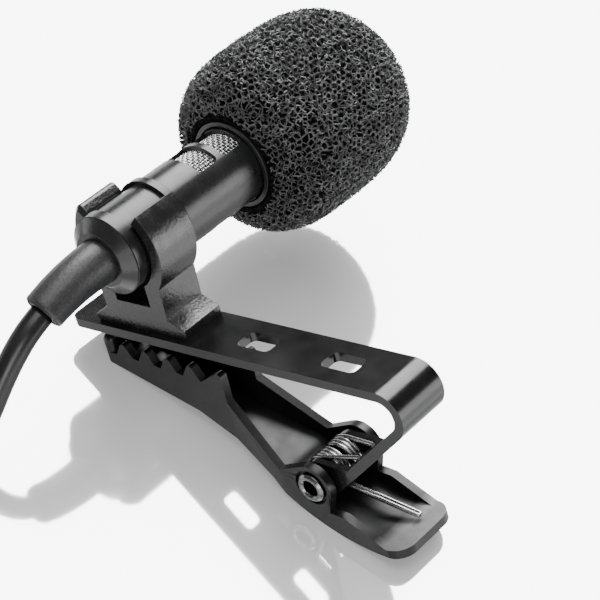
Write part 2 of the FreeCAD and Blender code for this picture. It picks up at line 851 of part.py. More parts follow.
def make_tail():
    """Tail cap, sagging boot, and the end of the cord in its clamp."""
    turned("tail_cap", [
        (cap_end, cap_small),
        (cap_end, boot_root),
        (boot_start, boot_root),
        (boot_start, boot_collar),
        (flange_rear + z.cap_spigot, boot_collar),
        (flange_rear + z.cap_spigot, tail_bore),
        (flange_rear, tail_bore),
        (flange_rear, rear_flange - z.cap_cone_edge),
    ])
    boot = turned("cable_boot", [
        (-z.boot_straight, boot_root),
        (-z.boot_straight, z.cord_radius),
        (clamp_start, z.cord_radius),
        (clamp_start, boot_collar),
        (boot_start, boot_collar),
        (boot_start, boot_root),
    ])
    sagging_loft(boot, "AdditiveLoft", [boot_root - z.boot_taper * share for share in (0, 0.4, 0.75, 1)])
    bored = sagging_loft(boot, "SubtractiveLoft", [z.cord_radius] * 4)
    mouth = 2 * math.pi * z.cord_radius.number
    rounded(boot, bored, z.boot_lip,
            lambda edge, middle: abs(edge.Length - mouth) < 0.05
            and edge.CenterOfMass.y < -z.boot_end.number + z.boot_lip.number, kind="Chamfer")
    turned("cable_clamp", [
        (clamp_start, z.cord_radius),
        (clamp_end, z.cord_radius),
        (clamp_end, z.cord_radius + z.clamp_wall),
        (clamp_start, z.cord_radius + z.clamp_wall),
    ])
    tail = turned("cable_tail", [
        (-z.boot_straight, ZERO),
        (tail_end, ZERO),
        (tail_end, z.cord_radius),
        (-z.boot_straight, z.cord_radius),
    ])
    sagging_loft(tail, "AdditiveLoft", [z.cord_radius] * 4)


def make_capsule():
    """Electret capsule in its gasket, with its board and leads, and the front cap over it."""
    turned("electret_capsule", [
        (capsule_back, ZERO),
        (capsule_front, ZERO),
        (capsule_front, capsule_radius - z.capsule_edge),
        (capsule_front - z.capsule_edge, capsule_radius),
        (capsule_back, capsule_radius),
    ])
    turned("capsule_gasket", [
        (capsule_back, capsule_radius),
        (capsule_front, capsule_radius),
        (capsule_front, gasket_radius),
        (capsule_back, gasket_radius),
    ])
    turned("capsule_board", [
        (board_back, ZERO),
        (capsule_back, ZERO),
        (capsule_back, capsule_radius),
        (board_back, capsule_radius),
    ])
    leads = body_named("capsule_leads")
    section = sketch_on(leads, "XZ_Plane", -board_back)
    for way in (0.5, -0.5):
        circle(section, z.lead_spacing * way, ZERO, z.lead_radius)
    feature(leads, "Pad", section, Length=board_back - tail_end)
    cap_front = z.barrel_end + z.front_cap_rim
    spigot_bore = barrel_bore - z.cap_wall
    cap = turned("front_cap", [
        (capsule_front, spigot_bore),
        (z.barrel_end, spigot_bore),
        (z.barrel_end, ZERO),
        (cap_front, ZERO),
        (cap_front, z.barrel_radius - z.front_cap_edge),
        (cap_front - z.front_cap_edge, z.barrel_radius),
        (z.barrel_end, z.barrel_radius),
        (z.barrel_end, barrel_bore),
        (capsule_front, barrel_bore),
    ])
    holes = sketch_on(cap, "XZ_Plane")
    circle(holes, ZERO, ZERO, z.sound_hole)
    for number in range(6):
        place = on_circle((ZERO, ZERO), spigot_bore - z.sound_edge, as_size(60 * number))
        circle(holes, place[0], place[1], z.sound_hole)
    feature(cap, "Pocket", holes, Type=1, Midplane=True)


# Windscreen: foam of revolution with a fuller near end, and the ring in its mouth

ring_bore = z.barrel_radius + z.ring_play
ring_radius = ring_bore + z.ring_wall


def foam_outline():
    """Points (place along the axis, radius) of the foam, from its mouth to its far pole."""
    middle = z.foam_mouth + z.foam_near
    points = []
    near_shares = (-0.92, -0.8, -0.69, -0.575, -0.46, -0.23, 0)
    far_shares = (0.25, 0.49, 0.62, 0.74, 0.86, 0.985)
    for half, power, shares in ((z.foam_near, z.foam_near_power, near_shares),
                                (z.foam_far, z.foam_far_power, far_shares)):
        for share in shares:
            fullness = (1 - abs(share) ** power.number) ** (1 / power.number)
            points.append(Vector(0, middle.number + half.number * share,
                                 z.foam_radius.number * fullness))
    return points


def make_foam_windscreen():
    points = foam_outline()
    curve = Part.BSplineCurve()
    curve.interpolate(points)
    mouth = z.foam_mouth.number
    ring = ring_radius.number
    ring_end = (z.foam_mouth + z.ring_recess + z.ring_length).number
    end = (z.barrel_end + z.front_cap_rim + z.foam_gap).number
    pole = points[-1].y + z.foam_pole.number
    inside = [points[-1], Vector(0, pole, points[-1].z * 0.5), Vector(0, pole, 0), Vector(0, end, 0),
              Vector(0, end, ring_bore.number), Vector(0, ring_end, ring_bore.number),
              Vector(0, ring_end, ring), Vector(0, mouth, ring), points[0]]
    edges = [curve.toShape()] + [Part.makeLine(a, b) for a, b in zip(inside, inside[1:])]
    face = Part.Face(Part.Wire(edges))
    item = doc.addObject("Part::Feature", "foam_windscreen")
    item.Shape = face.revolve(Vector(0, 0, 0), Vector(0, 1, 0), 360)
    item.Label = "foam_windscreen"


def make_windscreen_ring():
    start = z.foam_mouth + z.ring_recess
    turned("windscreen_ring", [
        (start, ring_bore),
        (start + z.ring_length, ring_bore),
        (start + z.ring_length, ring_radius),
        (start, ring_radius),
    ])


# Placing: the clip rests on its toe and on the belly of its lever

def clip_tilt():
    """Angle that brings the toe and the belly of the lever to the same height."""
    across = lever_centre[0].number - toe[0].number
    up = lever_centre[1].number - toe[1].number
    reach = math.hypot(across, up)
    return math.degrees(math.asin(z.lever_radius.number / reach) - math.atan2(up, across))


def place_all(on_clip, on_pin, on_mic, hanging):
    """Give every piece its place, with the origin under the middle of the object."""
    axis = Vector(0, 1, 0)
    turn = Rotation(axis, -clip_tilt())
    pin_offset = Placement(Vector(pin[0].number, 0, pin[1].number), Rotation())
    mic_offset = Placement(Vector(-z.axis_place.number, 0, z.axis_height.number), Rotation())
    upright = mic_offset.multiply(Placement(Vector(), Rotation(axis, clip_tilt())))
    groups = ((on_clip, Placement()), (on_pin, pin_offset), (on_mic, mic_offset), (hanging, upright))
    tilted = Placement(Vector(), turn)
    box = FreeCAD.BoundBox()
    for pieces, offset in groups:
        for piece in pieces:
            shape = piece.Shape.copy()
            shape.Placement = tilted.multiply(offset).multiply(shape.Placement)
            box.add(shape.optimalBoundingBox(False))
    shift = Vector(-box.Center.x, -box.Center.y, -box.ZMin)
    base = Placement(shift, turn)
    for pieces, offset in groups:
        for piece in pieces:
            piece.Placement = base.multiply(offset)
    return base.multiply(upright)


# Cord, coil and plug, on the table beside the object

def rounded_path(points):
    """Straight runs joined by tangent arcs as large as the runs allow; also their radii."""
    edges = []
    radii = []
    last = points[0]
    for before, corner, after in zip(points, points[1:], points[2:]):
        back = before - corner
        ahead = after - corner
        turn = math.pi - back.getAngle(ahead)
        setback = 0.45 * min(back.Length, ahead.Length)
        radius = setback / math.tan(turn / 2)
        start = corner + back.normalize() * setback
        end = corner + ahead.normalize() * setback
        inward = (start + end) * 0.5 - corner
        centre_gap = math.hypot(setback, radius)
        middle = corner + inward.normalize() * (centre_gap - radius)
        edges.append(Part.LineSegment(last, start).toShape())
        edges.append(Part.Arc(start, middle, end).toShape())
        radii.append(radius)
        last = end
    edges.append(Part.LineSegment(last, points[-1]).toShape())
    return Part.Wire(edges), radii


def make_tube(label, points):
    """Cord along a route, with its radii and volume reported."""
    path, radii = rounded_path(points)
    radius = z.cord_radius.number
    profile = Part.Wire(Part.makeCircle(radius, points[0], points[1] - points[0]))
    item = doc.addObject("Part::Feature", label)
    item.Shape = path.makePipeShell([profile], True, True)
    item.Label = label
    expected = math.pi * radius * radius * path.Length
    print(label, "radii", [round(value, 1) for value in radii], "length", round(path.Length, 1),
          "volume ratio", round(item.Shape.Volume / expected, 4))


def along(start, steps):
    """Points at given steps from a start."""
    return [start + Vector(*step) for step in steps]


def lead_route(exit_point):
    """From the boot, in the direction of its sag, down to the table and along it into the coil."""
    drop = z.cord_radius.number - exit_point.z
    sag = math.radians(z.boot_sag.number)
    first = 1.7
    return along(exit_point, [(0, 0, 0), (0, -first * math.cos(sag), -first * math.sin(sag)),
                              (0, -3.34, -2.32), (0.05, -5.35, -4.8), (0.2, -7.2, -7.7),
                              (0.5, -9.9, -10.92), (1.0, -14.17, drop + 0.08), (1.9, -19.0, drop),
                              (3.1, -23.4, drop), (4.55, -27.7, drop)])


def tail_route(plug_start):
    """From the coil to the plug, rising to the height of its axis."""
    drop = z.cord_radius.number - plug_start.z
    return along(plug_start, [(1.2, -17.0, drop), (1.1, -12.6, drop), (0.6, -8.2, drop * 0.62),
                              (0, -4.0, 0), (0, 0, 0)])


def ring_section(grow, bottom):
    """Half section of the coil, grown sideways and upwards, from a height above the table."""
    side = z.coil_section_wide.number + grow
    middle = z.coil_middle.number
    top = z.coil_section_high.number * 2 + grow
    return Part.Face(Part.makePolygon([
        Vector(middle - side, 0, bottom),
        Vector(middle + side, 0, bottom),
        Vector(middle + side, 0, top),
        Vector(middle - side, 0, top),
        Vector(middle - side, 0, bottom),
    ]))


def make_coil(centre):
    """The put-away turns as one ring, lifted by the sheet of the tie that goes round them."""
    sheet = z.tie_sheet.number
    whole = ring_section(0, 0)
    inner = ring_section(0, sheet)
    outer = ring_section(sheet, 0)
    axis = Vector(0, 0, 1)
    tie_turn = math.degrees(z.tie_width.number / z.coil_middle.number)
    free = whole.revolve(Vector(), axis, 360 - tie_turn)
    held = inner.revolve(Vector(), axis, -tie_turn)
    band = outer.cut(inner).revolve(Vector(), axis, -tie_turn)
    for label, shape in (("cord_coil", free.fuse(held)), ("cord_tie", band)):
        item = doc.addObject("Part::Feature", label)
        item.Shape = shape.Solids[0]
        item.Label = label
        item.Placement = Placement(centre, Rotation(axis, z.tie_place.number))


def make_cord(hang):
    """Cord from the boot's end, whose frame is upright, to the plug; returns the plug's place."""
    sag = bow_radius.number * (1 - math.cos(math.radians(z.boot_sag.number)))
    lead = lead_route(hang.multVec(Vector(0, -z.boot_end.number, -sag)))
    make_tube("cord_lead", lead)
    outer_turn = z.coil_middle.number + z.coil_section_wide.number - z.cord_radius.number
    heading = (lead[-1] - lead[-2]).normalize()
    side = Vector(-heading.y, heading.x, 0)
    centre = Vector(lead[-1].x, lead[-1].y, 0) - side * outer_turn
    make_coil(centre)
    plug_start = centre + Vector(-outer_turn - z.plug_aside.number, z.plug_ahead.number,
                                 z.grip_radius.number)
    make_tube("plug_lead", tail_route(plug_start))
    return Placement(plug_start, Rotation())


# Plug, turned about its own axis from the end of its strain relief

def make_plug(place):
    grip_start = z.relief_length
    spigot_end = grip_start + z.relief_spigot_length
    grip_end = grip_start + z.grip_length
    anchor = grip_end - z.plug_anchor_length
    turned("plug_relief", [
        (ZERO, ZERO),
        (spigot_end, ZERO),
        (spigot_end, z.relief_spigot),
        (grip_start, z.relief_spigot),
        (grip_start, z.relief_end),
        (ZERO, z.relief_start),
    ])
    turned("plug_grip", [
        (spigot_end, ZERO),
        (anchor, ZERO),
        (anchor, z.plug_anchor),
        (grip_end, z.plug_anchor),
        (grip_end, z.grip_radius - z.grip_bevel),
        (grip_end - z.grip_bevel, z.grip_radius),
        (grip_start + z.grip_bevel, z.grip_radius),
        (grip_start, z.grip_radius - z.grip_bevel),
        (grip_start, z.relief_spigot),
        (spigot_end, z.relief_spigot),
    ])
    poles = (z.plug_ring_length + z.plug_insulator) * 2 + z.plug_insulator + z.tip_length
    sleeve_end = grip_end + z.plug_length - poles
    turned("plug_sleeve", [
        (anchor, z.plug_core),
        (sleeve_end, z.plug_core),
        (sleeve_end, z.plug_radius),
        (grip_end, z.plug_radius),
        (grip_end, z.plug_anchor),
        (anchor, z.plug_anchor),
    ])
    rings = body_named("plug_insulators")
    sketch = sketch_on(rings, "YZ_Plane")
    start = sleeve_end
    for label in ("plug_ring_rear", "plug_ring_front", None):
        after = start + z.plug_insulator
        outline(sketch, [(start, z.plug_core), (after, z.plug_core), (after, z.plug_radius),
                         (start, z.plug_radius)])
        start = after
        if label:
            start = after + z.plug_ring_length
            turned(label, [
                (after, z.plug_core),
                (start, z.plug_core),
                (start, z.plug_radius),
                (after, z.plug_radius),
            ])
    feature(rings, "Revolution", sketch, ReferenceAxis=(sketch, ["H_Axis"]), Angle=360.0)
    tip_end = start + z.tip_length
    turned("plug_tip", [
        (anchor, ZERO),
        (tip_end, ZERO),
        (tip_end, z.tip_flat),
        (tip_end - z.tip_slope, z.tip_slope_radius),
        (tip_end - z.tip_shoulder, z.plug_radius),
        (tip_end - z.tip_neck_place, z.tip_neck),
        (start + z.tip_collar, z.plug_radius),
        (start, z.plug_radius),
        (start, z.plug_core),
        (anchor, z.plug_core),
    ])
    pieces = labelled("plug_relief", "plug_grip", "plug_sleeve", "plug_ring_rear",
                      "plug_ring_front", "plug_insulators", "plug_tip")
    for piece in pieces:
        piece.Placement = place
    return pieces


def labelled(*names):
    """The pieces of those names."""
    return [doc.getObjectsByLabel(name)[0] for name in names]


def main():
    on_clip = [make_clip_arm(), make_lower_jaw()]
    on_pin = [make_pivot_pin(), make_torsion_spring()]
    holder = make_mic_holder()
    make_mic_barrel()
    make_tail()
    make_capsule()
    make_foam_windscreen()
    make_windscreen_ring()
    on_mic = [holder] + labelled("mic_barrel", "grille_mesh", "tail_cap", "cable_clamp",
                                 "electret_capsule", "capsule_gasket", "capsule_board",
                                 "capsule_leads", "front_cap", "foam_windscreen", "windscreen_ring")
    hanging = labelled("cable_boot", "cable_tail")
    doc.recompute()
    hang = place_all(on_clip, on_pin, on_mic, hanging)
    plug = make_plug(make_cord(hang))
    doc.recompute()
    cord = labelled("cord_lead", "cord_coil", "cord_tie", "plug_lead")
    pieces = on_clip + on_pin + on_mic + hanging + cord + plug
    for item in doc.Objects:
        if "Invalid" in item.State or "Error" in item.State:
            raise RuntimeError(f"{item.Label}: {item.State}")
    os.makedirs("parts", exist_ok=True)
    for piece in pieces:
        shape = piece.Shape
        if shape.isNull() or not shape.isValid():
            raise RuntimeError(f"{piece.Label} has no valid shape")
        print(piece.Label, "solids", len(shape.Solids), "volume", round(shape.Volume, 2))
        shape.exportStep(f"parts/{piece.Label}.step")


main()
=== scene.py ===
"""Looks of a lavalier microphone on its toothed lapel clip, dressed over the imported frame."""
import itertools
import json
import math

import bmesh
import bpy
import numpy as np
from mathutils import Matrix, Vector


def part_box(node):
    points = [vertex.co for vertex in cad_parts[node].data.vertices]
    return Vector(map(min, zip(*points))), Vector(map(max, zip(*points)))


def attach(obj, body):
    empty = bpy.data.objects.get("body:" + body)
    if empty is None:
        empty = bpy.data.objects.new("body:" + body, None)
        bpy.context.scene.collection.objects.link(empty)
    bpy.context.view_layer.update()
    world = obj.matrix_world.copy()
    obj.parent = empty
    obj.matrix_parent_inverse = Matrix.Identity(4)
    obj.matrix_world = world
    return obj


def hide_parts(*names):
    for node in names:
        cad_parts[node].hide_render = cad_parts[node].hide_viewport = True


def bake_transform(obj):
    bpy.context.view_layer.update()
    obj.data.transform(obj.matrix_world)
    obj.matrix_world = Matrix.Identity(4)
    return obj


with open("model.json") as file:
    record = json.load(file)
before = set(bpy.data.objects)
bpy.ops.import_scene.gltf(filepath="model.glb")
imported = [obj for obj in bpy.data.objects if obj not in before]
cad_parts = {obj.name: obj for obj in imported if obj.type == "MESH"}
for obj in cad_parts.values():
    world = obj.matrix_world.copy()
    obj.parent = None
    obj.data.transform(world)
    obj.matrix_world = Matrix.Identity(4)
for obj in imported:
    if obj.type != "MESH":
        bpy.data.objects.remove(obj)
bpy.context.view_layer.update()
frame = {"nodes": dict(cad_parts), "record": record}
MM = 0.001
nodes = frame["nodes"]
scene = bpy.context.scene

# Places taken from the frame, in millimetres
MIC_LOW, MIC_HIGH = (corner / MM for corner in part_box("mic_barrel"))
ARM_LOW, ARM_HIGH = (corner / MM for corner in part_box("clip_arm"))
PIN_LOW, PIN_HIGH = (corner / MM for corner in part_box("pivot_pin"))
AXIS_X = (MIC_LOW.x + MIC_HIGH.x) / 2
AXIS_Z = (MIC_LOW.z + MIC_HIGH.z) / 2
MIDDLE_Y = (ARM_LOW.y + ARM_HIGH.y) / 2
PIN = (PIN_LOW + PIN_HIGH) / 2
LEVER_PAINTED_SHEEN = PIN.x + 7.6        # where the painted pale sheen on the thumb lever's floor starts, along x
PAINTED_SHEEN_FADE = 1.2


def on_mic(along, aside=0.0, up=0.0):
    """Point in millimetres, given along the microphone's axis from the clip's middle."""
    return Vector((AXIS_X + aside, MIDDLE_Y + along, AXIS_Z + up))


# Camera at the photograph's angle: its place in millimetres and its three axes

CAMERA_AT = Vector((87.778, -132.386, 165.75))
CAMERA_RIGHT = Vector((0.77146, 0.62986, 0.09017))
CAMERA_UP = Vector((-0.49648, 0.50725, 0.70442))
CAMERA_BACK = Vector((0.39794, -0.58820, 0.70404))
LENS, SENSOR = 135.0, 36.0


def make_camera():
    """The photograph's view."""
    data = bpy.data.cameras.new("camera")
    data.lens = LENS
    data.sensor_width = SENSOR
    data.clip_start = 0.01
    data.clip_end = 20.0
    camera = bpy.data.objects.new("camera", data)
    scene.collection.objects.link(camera)
    turn = Matrix((CAMERA_RIGHT, CAMERA_UP, CAMERA_BACK)).transposed().to_4x4()
    camera.matrix_world = Matrix.Translation(CAMERA_AT * MM) @ turn
    scene.camera = camera


# Materials, all from nodes

def principled(name, colour, roughness, metallic=0.0, specular=0.5):
    """A new material and the parts of it that detail is added to."""
    material = bpy.data.materials.new(name)
    material.use_nodes = True
    tree = material.node_tree
    shader = tree.nodes["Principled BSDF"]
    shader.inputs["Base Color"].default_value = (*colour, 1.0)
    shader.inputs["Roughness"].default_value = roughness
    shader.inputs["Metallic"].default_value = metallic
    shader.inputs["Specular IOR Level"].default_value = specular
    return material, tree, shader


def noise(tree, scale, detail=3.0):
    """Noise in object space; scale is in features per metre."""
    place = tree.nodes.new("ShaderNodeTexCoord")
    field = tree.nodes.new("ShaderNodeTexNoise")
    field.inputs["Scale"].default_value = scale
    field.inputs["Detail"].default_value = detail
    tree.links.new(place.outputs["Object"], field.inputs["Vector"])
    return field.outputs["Fac"]


def ranged(tree, value, low, high, out_low, out_high):
    """A value brought from one range to another."""
    node = tree.nodes.new("ShaderNodeMapRange")
    node.inputs["From Min"].default_value = low
    node.inputs["From Max"].default_value = high
    node.inputs["To Min"].default_value = out_low
    node.inputs["To Max"].default_value = out_high
    tree.links.new(value, node.inputs["Value"])
    return node.outputs["Result"]


def mixed(tree, factor, first, second):
    """Colour between two colours; a colour is three numbers or a socket."""
    node = tree.nodes.new("ShaderNodeMix")
    node.data_type = "RGBA"
    tree.links.new(factor, node.inputs["Factor"])
    for socket, colour in ((node.inputs["A"], first), (node.inputs["B"], second)):
        if isinstance(colour, tuple):
            socket.default_value = (*colour, 1.0)
        else:
            tree.links.new(colour, socket)
    return node.outputs["Result"]


def bumped(tree, shader, height, distance, under=None):
    """Bump on the shader's normal, over an earlier one if given."""
    node = tree.nodes.new("ShaderNodeBump")
    node.inputs["Distance"].default_value = distance
    tree.links.new(height, node.inputs["Height"])
    if under is not None:
        tree.links.new(under, node.inputs["Normal"])
    tree.links.new(node.outputs["Normal"], shader.inputs["Normal"])
    return node.outputs["Normal"]


def finish_with(name, colour, other, gloss, grain, fine, fine_depth, wave_depth=0.0, **kwargs):
    """A finish that drifts between two colours and, in its gloss, between two roughnesses.

    grain is the drift's scale and fine that of the relief, both in features per metre. The
    relief's depth and that of a slow wave under it are in metres.
    """
    material, tree, shader = principled(name, colour, sum(gloss) / 2, **kwargs)
    drift = noise(tree, grain)
    tree.links.new(mixed(tree, ranged(tree, drift, 0.35, 0.65, 0.0, 1.0), colour, other),
                   shader.inputs["Base Color"])
    tree.links.new(ranged(tree, noise(tree, grain * 2.3), 0.3, 0.7, *gloss),
                   shader.inputs["Roughness"])
    under = None
    if wave_depth:
        under = bumped(tree, shader, noise(tree, grain * 0.6, 1.0), wave_depth)
    bumped(tree, shader, noise(tree, fine, 2.0), fine_depth, under=under)
    return material


def painted_floor_sheen(material):
    """The lever's floor, painted pale where the thumb presses and where it faces up: a painted
    reflection of the light.
    """
    tree = material.node_tree
    shader = tree.nodes["Principled BSDF"]
    place = tree.nodes.new("ShaderNodeTexCoord")
    split = tree.nodes.new("ShaderNodeSeparateXYZ")
    tree.links.new(place.outputs["Object"], split.inputs["Vector"])
    facing = tree.nodes.new("ShaderNodeSeparateXYZ")
    tree.links.new(place.outputs["Normal"], facing.inputs["Vector"])
    share = tree.nodes.new("ShaderNodeMath")
    share.operation = "MULTIPLY"
    sheen_span = LEVER_PAINTED_SHEEN * MM, (LEVER_PAINTED_SHEEN + PAINTED_SHEEN_FADE) * MM
    tree.links.new(ranged(tree, split.outputs["X"], *sheen_span, 0.0, 1.0), share.inputs[0])
    tree.links.new(ranged(tree, facing.outputs["Z"], 0.75, 0.86, 0.0, 1.0), share.inputs[1])
    # painted reflection: the pale colour laid on the lever's upward-facing floor near its end
    painted_sheen = mixed(tree, noise(tree, 1200.0), (0.16, 0.16, 0.16), (0.26, 0.26, 0.26))
    under = shader.inputs["Base Color"].links[0].from_socket
    tree.links.new(mixed(tree, share.outputs["Value"], under, painted_sheen), shader.inputs["Base Color"])
    return material


def make_materials():
    """A finish for each slot; others for the jaw, with a painted pale reflection on its lever's
    floor, and for the foam's cells; and two lighter ones for the rounded edges, partly worn paint
    and partly painted highlight.
    """
    made = {}
    made["black_steel"] = finish_with(
        "enamel_black", (0.003, 0.003, 0.0032), (0.006, 0.006, 0.0062), (0.19, 0.25),
        300.0, 4000.0, 0.000002, 0.00001, specular=0.52)
    # the jaw's finish carries the painted pale reflection on the lever's floor
    made["jaw_steel"] = painted_floor_sheen(finish_with(
        "jaw_enamel", (0.004, 0.004, 0.0042), (0.008, 0.008, 0.0082), (0.27, 0.38),
        300.0, 4000.0, 0.000002, 0.00001, specular=0.3))
    made["holder_plastic"] = finish_with(
        "moulded_black", (0.006, 0.006, 0.0065), (0.011, 0.011, 0.0115), (0.2, 0.3),
        400.0, 3400.0, 0.00003, 0.00002, specular=0.7)
    made["satin_black"] = finish_with(
        "satin_black", (0.006, 0.006, 0.0065), (0.010, 0.010, 0.0105), (0.26, 0.32),
        500.0, 12000.0, 0.000002, specular=0.55)
    made["boot_rubber"] = finish_with(
        "boot_rubber", (0.012, 0.012, 0.013), (0.03, 0.03, 0.031), (0.36, 0.48),
        5000.0, 9000.0, 0.00001, 0.00003)
    made["cord_sheath"] = finish_with(
        "cord_sheath", (0.006, 0.006, 0.0065), (0.010, 0.010, 0.0105), (0.25, 0.36),
        350.0, 8000.0, 0.000006, 0.00004)
    made["plug_plastic"] = finish_with(
        "plug_plastic", (0.014, 0.014, 0.015), (0.019, 0.019, 0.02), (0.34, 0.44),
        500.0, 9000.0, 0.00001)
    made["ring_plastic"] = made["plug_plastic"]
    made["insulator_plastic"] = made["plug_plastic"]
    made["rivet_steel"] = finish_with(
        "rivet_steel", (0.13, 0.13, 0.135), (0.2, 0.2, 0.205), (0.2, 0.3),
        900.0, 9000.0, 0.0000006, metallic=1.0)
    made["spring_steel"] = finish_with(
        "spring_steel", (0.30, 0.30, 0.305), (0.36, 0.36, 0.365), (0.22, 0.28),
        900.0, 3000.0, 0.0000001, metallic=1.0)
    made["silver_mesh"] = finish_with(
        "silver_wire", (0.70, 0.70, 0.71), (0.80, 0.80, 0.81), (0.18, 0.28),
        1500.0, 12000.0, 0.000003, metallic=1.0)
    made["capsule_metal"] = finish_with(
        "capsule_metal", (0.70, 0.70, 0.71), (0.78, 0.78, 0.79), (0.25, 0.35),
        900.0, 9000.0, 0.000004, metallic=1.0)
    made["contact_gold"] = finish_with(
        "contact_gold", (0.80, 0.60, 0.27), (0.86, 0.67, 0.33), (0.15, 0.25),
        700.0, 9000.0, 0.000003, metallic=1.0)
    made["circuit_board"] = finish_with(
        "circuit_board", (0.02, 0.13, 0.05), (0.03, 0.17, 0.07), (0.4, 0.5),
        900.0, 6000.0, 0.000006)
    made["lead_sheath"] = finish_with(
        "lead_sheath", (0.32, 0.03, 0.02), (0.38, 0.035, 0.025), (0.35, 0.45),
        900.0, 6000.0, 0.000006)
    made["tie_fabric"] = make_fabric()
    made["black_foam"] = make_foam_material()
    made["foam_strut"] = finish_with(
        "foam_strut", (0.05, 0.0505, 0.0515), (0.11, 0.1105, 0.112), (0.26, 0.4),
        600.0, 9000.0, 0.00001, specular=0.7)
    # Lighter finishes for rounded edges: partly worn thin paint, partly painted highlight
    made["black_steel_edge"] = finish_with(
        "enamel_edge", (0.03, 0.03, 0.031), (0.13, 0.13, 0.133), (0.2, 0.35),
        2200.0, 9000.0, 0.000004, specular=0.8)
    made["holder_plastic_edge"] = finish_with(
        "moulded_edge", (0.018, 0.018, 0.019), (0.07, 0.07, 0.072), (0.25, 0.4),
        2200.0, 6000.0, 0.00001, specular=0.7)
    return made


def make_fabric():
    """Loop side of a fastening tape: short curled pile."""
    material, tree, shader = principled("tie_fabric", (0.018, 0.018, 0.02), 0.85, specular=0.2)
    shader.inputs["Sheen Weight"].default_value = 0.4
    pile = noise(tree, 4500.0, 4.0)
    tree.links.new(mixed(tree, pile, (0.008, 0.008, 0.009), (0.034, 0.034, 0.037)),
                   shader.inputs["Base Color"])
    bumped(tree, shader, pile, 0.00015)
    return material


def make_foam_material():
    """Near-black depth of open-cell foam, darker than its struts as painted shade, with a hint of
    the cells further in.
    """
    material, tree, shader = principled("black_foam", (0.003, 0.003, 0.003), 0.8, specular=0.05)
    cells = ranged(tree, noise(tree, 1800.0, 2.0), 0.5, 0.7, 0.0, 1.0)
    tree.links.new(mixed(tree, cells, (0.0015, 0.0015, 0.0015), (0.012, 0.012, 0.012)),
                   shader.inputs["Base Color"])
    bumped(tree, shader, noise(tree, 2500.0, 2.0), 0.00015)
    return material


# Meshes

def mesh_object(name, points, faces):
    """Smooth-shaded object from points in metres and faces; its normals point outwards."""
    mesh = bpy.data.meshes.new(name)
    mesh.from_pydata([tuple(point) for point in points], [], [tuple(face) for face in faces])
    work = bmesh.new()
    work.from_mesh(mesh)
    bmesh.ops.recalc_face_normals(work, faces=work.faces)
    work.to_mesh(mesh)
    work.free()
    mesh.shade_smooth()
    item = bpy.data.objects.new(name, mesh)
    scene.collection.objects.link(item)
    return item


def frames_along(points):
    """Two normals at each point of a line, turning as little as possible."""
    tangents = []
    for number in range(len(points)):
        before = points[max(number - 1, 0)]
        after = points[min(number + 1, len(points) - 1)]
        tangents.append((after - before).normalized())
    side = tangents[0].orthogonal().normalized()
    found = []
    for tangent in tangents:
        side = (side - tangent * side.dot(tangent)).normalized()
        found.append((side, tangent.cross(side)))
    return found


def tube_parts(points, radius, sides, start=0):
    """Points and faces of a closed tube along points; start is the number of its first point."""
    made, faces = [], []
    for (side, other), centre in zip(frames_along(points), points):
        for step in range(sides):
            angle = math.tau * step / sides
            made.append(centre + (side * math.cos(angle) + other * math.sin(angle)) * radius)
    for ring in range(len(points) - 1):
        for step in range(sides):
            after = (step + 1) % sides
            low, high = start + ring * sides, start + (ring + 1) * sides
            faces.append((low + step, low + after, high + after, high + step))
    last = start + (len(points) - 1) * sides
    faces.append(tuple(start + step for step in range(sides))[::-1])
    faces.append(tuple(last + step for step in range(sides)))
    return made, faces


SHARP = math.radians(28)


def softened(node, width, slot, body, segments=2, corner=0.0, look=None, painted_sheen_sides=False):
    """The node's own form with its sharp edges rounded and given a lighter finish, partly worn
    paint and partly painted highlight, in place of the node.

    width is the rounding in millimetres, and corner a larger one for edges that run across the
    clip. look is a finish other than the slot's, and painted_sheen_sides gives the faces along y
    the edges' lighter finish as painted sheen.
    """
    work = bmesh.new()
    work.from_mesh(nodes[node].data)
    bmesh.ops.remove_doubles(work, verts=work.verts, dist=1e-7)
    bmesh.ops.dissolve_limit(work, angle_limit=math.radians(0.05),
                             verts=work.verts, edges=work.edges)
    if corner:
        across = [edge for edge in work.edges
                  if edge.is_manifold and edge.calc_face_angle(0.0) > SHARP
                  and abs((edge.verts[1].co - edge.verts[0].co).normalized().y) > 0.99]
        bmesh.ops.bevel(work, geom=across, offset=corner * MM, segments=5, profile=0.5,
                        affect="EDGES", clamp_overlap=True)
    sharp = [edge for edge in work.edges
             if edge.is_manifold and edge.calc_face_angle(0.0) > SHARP]
    rounded = bmesh.ops.bevel(work, geom=sharp, offset=width * MM, segments=segments, profile=0.5,
                              affect="EDGES", clamp_overlap=True, material=1)["faces"]
    loose = [vert for vert in work.verts if not vert.link_faces]
    bmesh.ops.delete(work, geom=loose, context="VERTS")
    work.normal_update()
    rounding = set(rounded)
    normals = []
    for vert in work.verts:
        own = [loop for loop in vert.link_loops if loop.face not in rounding]
        total = Vector()
        for loop in own or vert.link_loops:
            total += loop.face.normal * (loop.calc_angle() * loop.face.calc_area())
        normals.append(total.normalized())
    for face in work.faces:
        # faces along y take the lighter edge finish as painted sheen
        if painted_sheen_sides and abs(face.normal.y) > 0.98:
            face.material_index = 1
    mesh = bpy.data.meshes.new(node + "_form")
    work.to_mesh(mesh)
    work.free()
    mesh.shade_smooth()
    mesh.normals_split_custom_set_from_vertices(normals)
    item = bpy.data.objects.new(node + "_form", mesh)
    scene.collection.objects.link(item)
    dress(item, slot)
    item.data.materials[0] = materials[look or slot]
    # rounded edges take the lighter finish: partly worn paint, partly painted highlight
    item.data.materials.append(materials.get(slot + "_edge", materials[slot]))
    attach(item, body)
    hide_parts(node)


def dress(item, slot):
    """Material of a new piece, the finish of the given slot."""
    item.data.materials.clear()
    item.data.materials.append(materials[slot])


# Cord: one smooth line from the boot to the plug

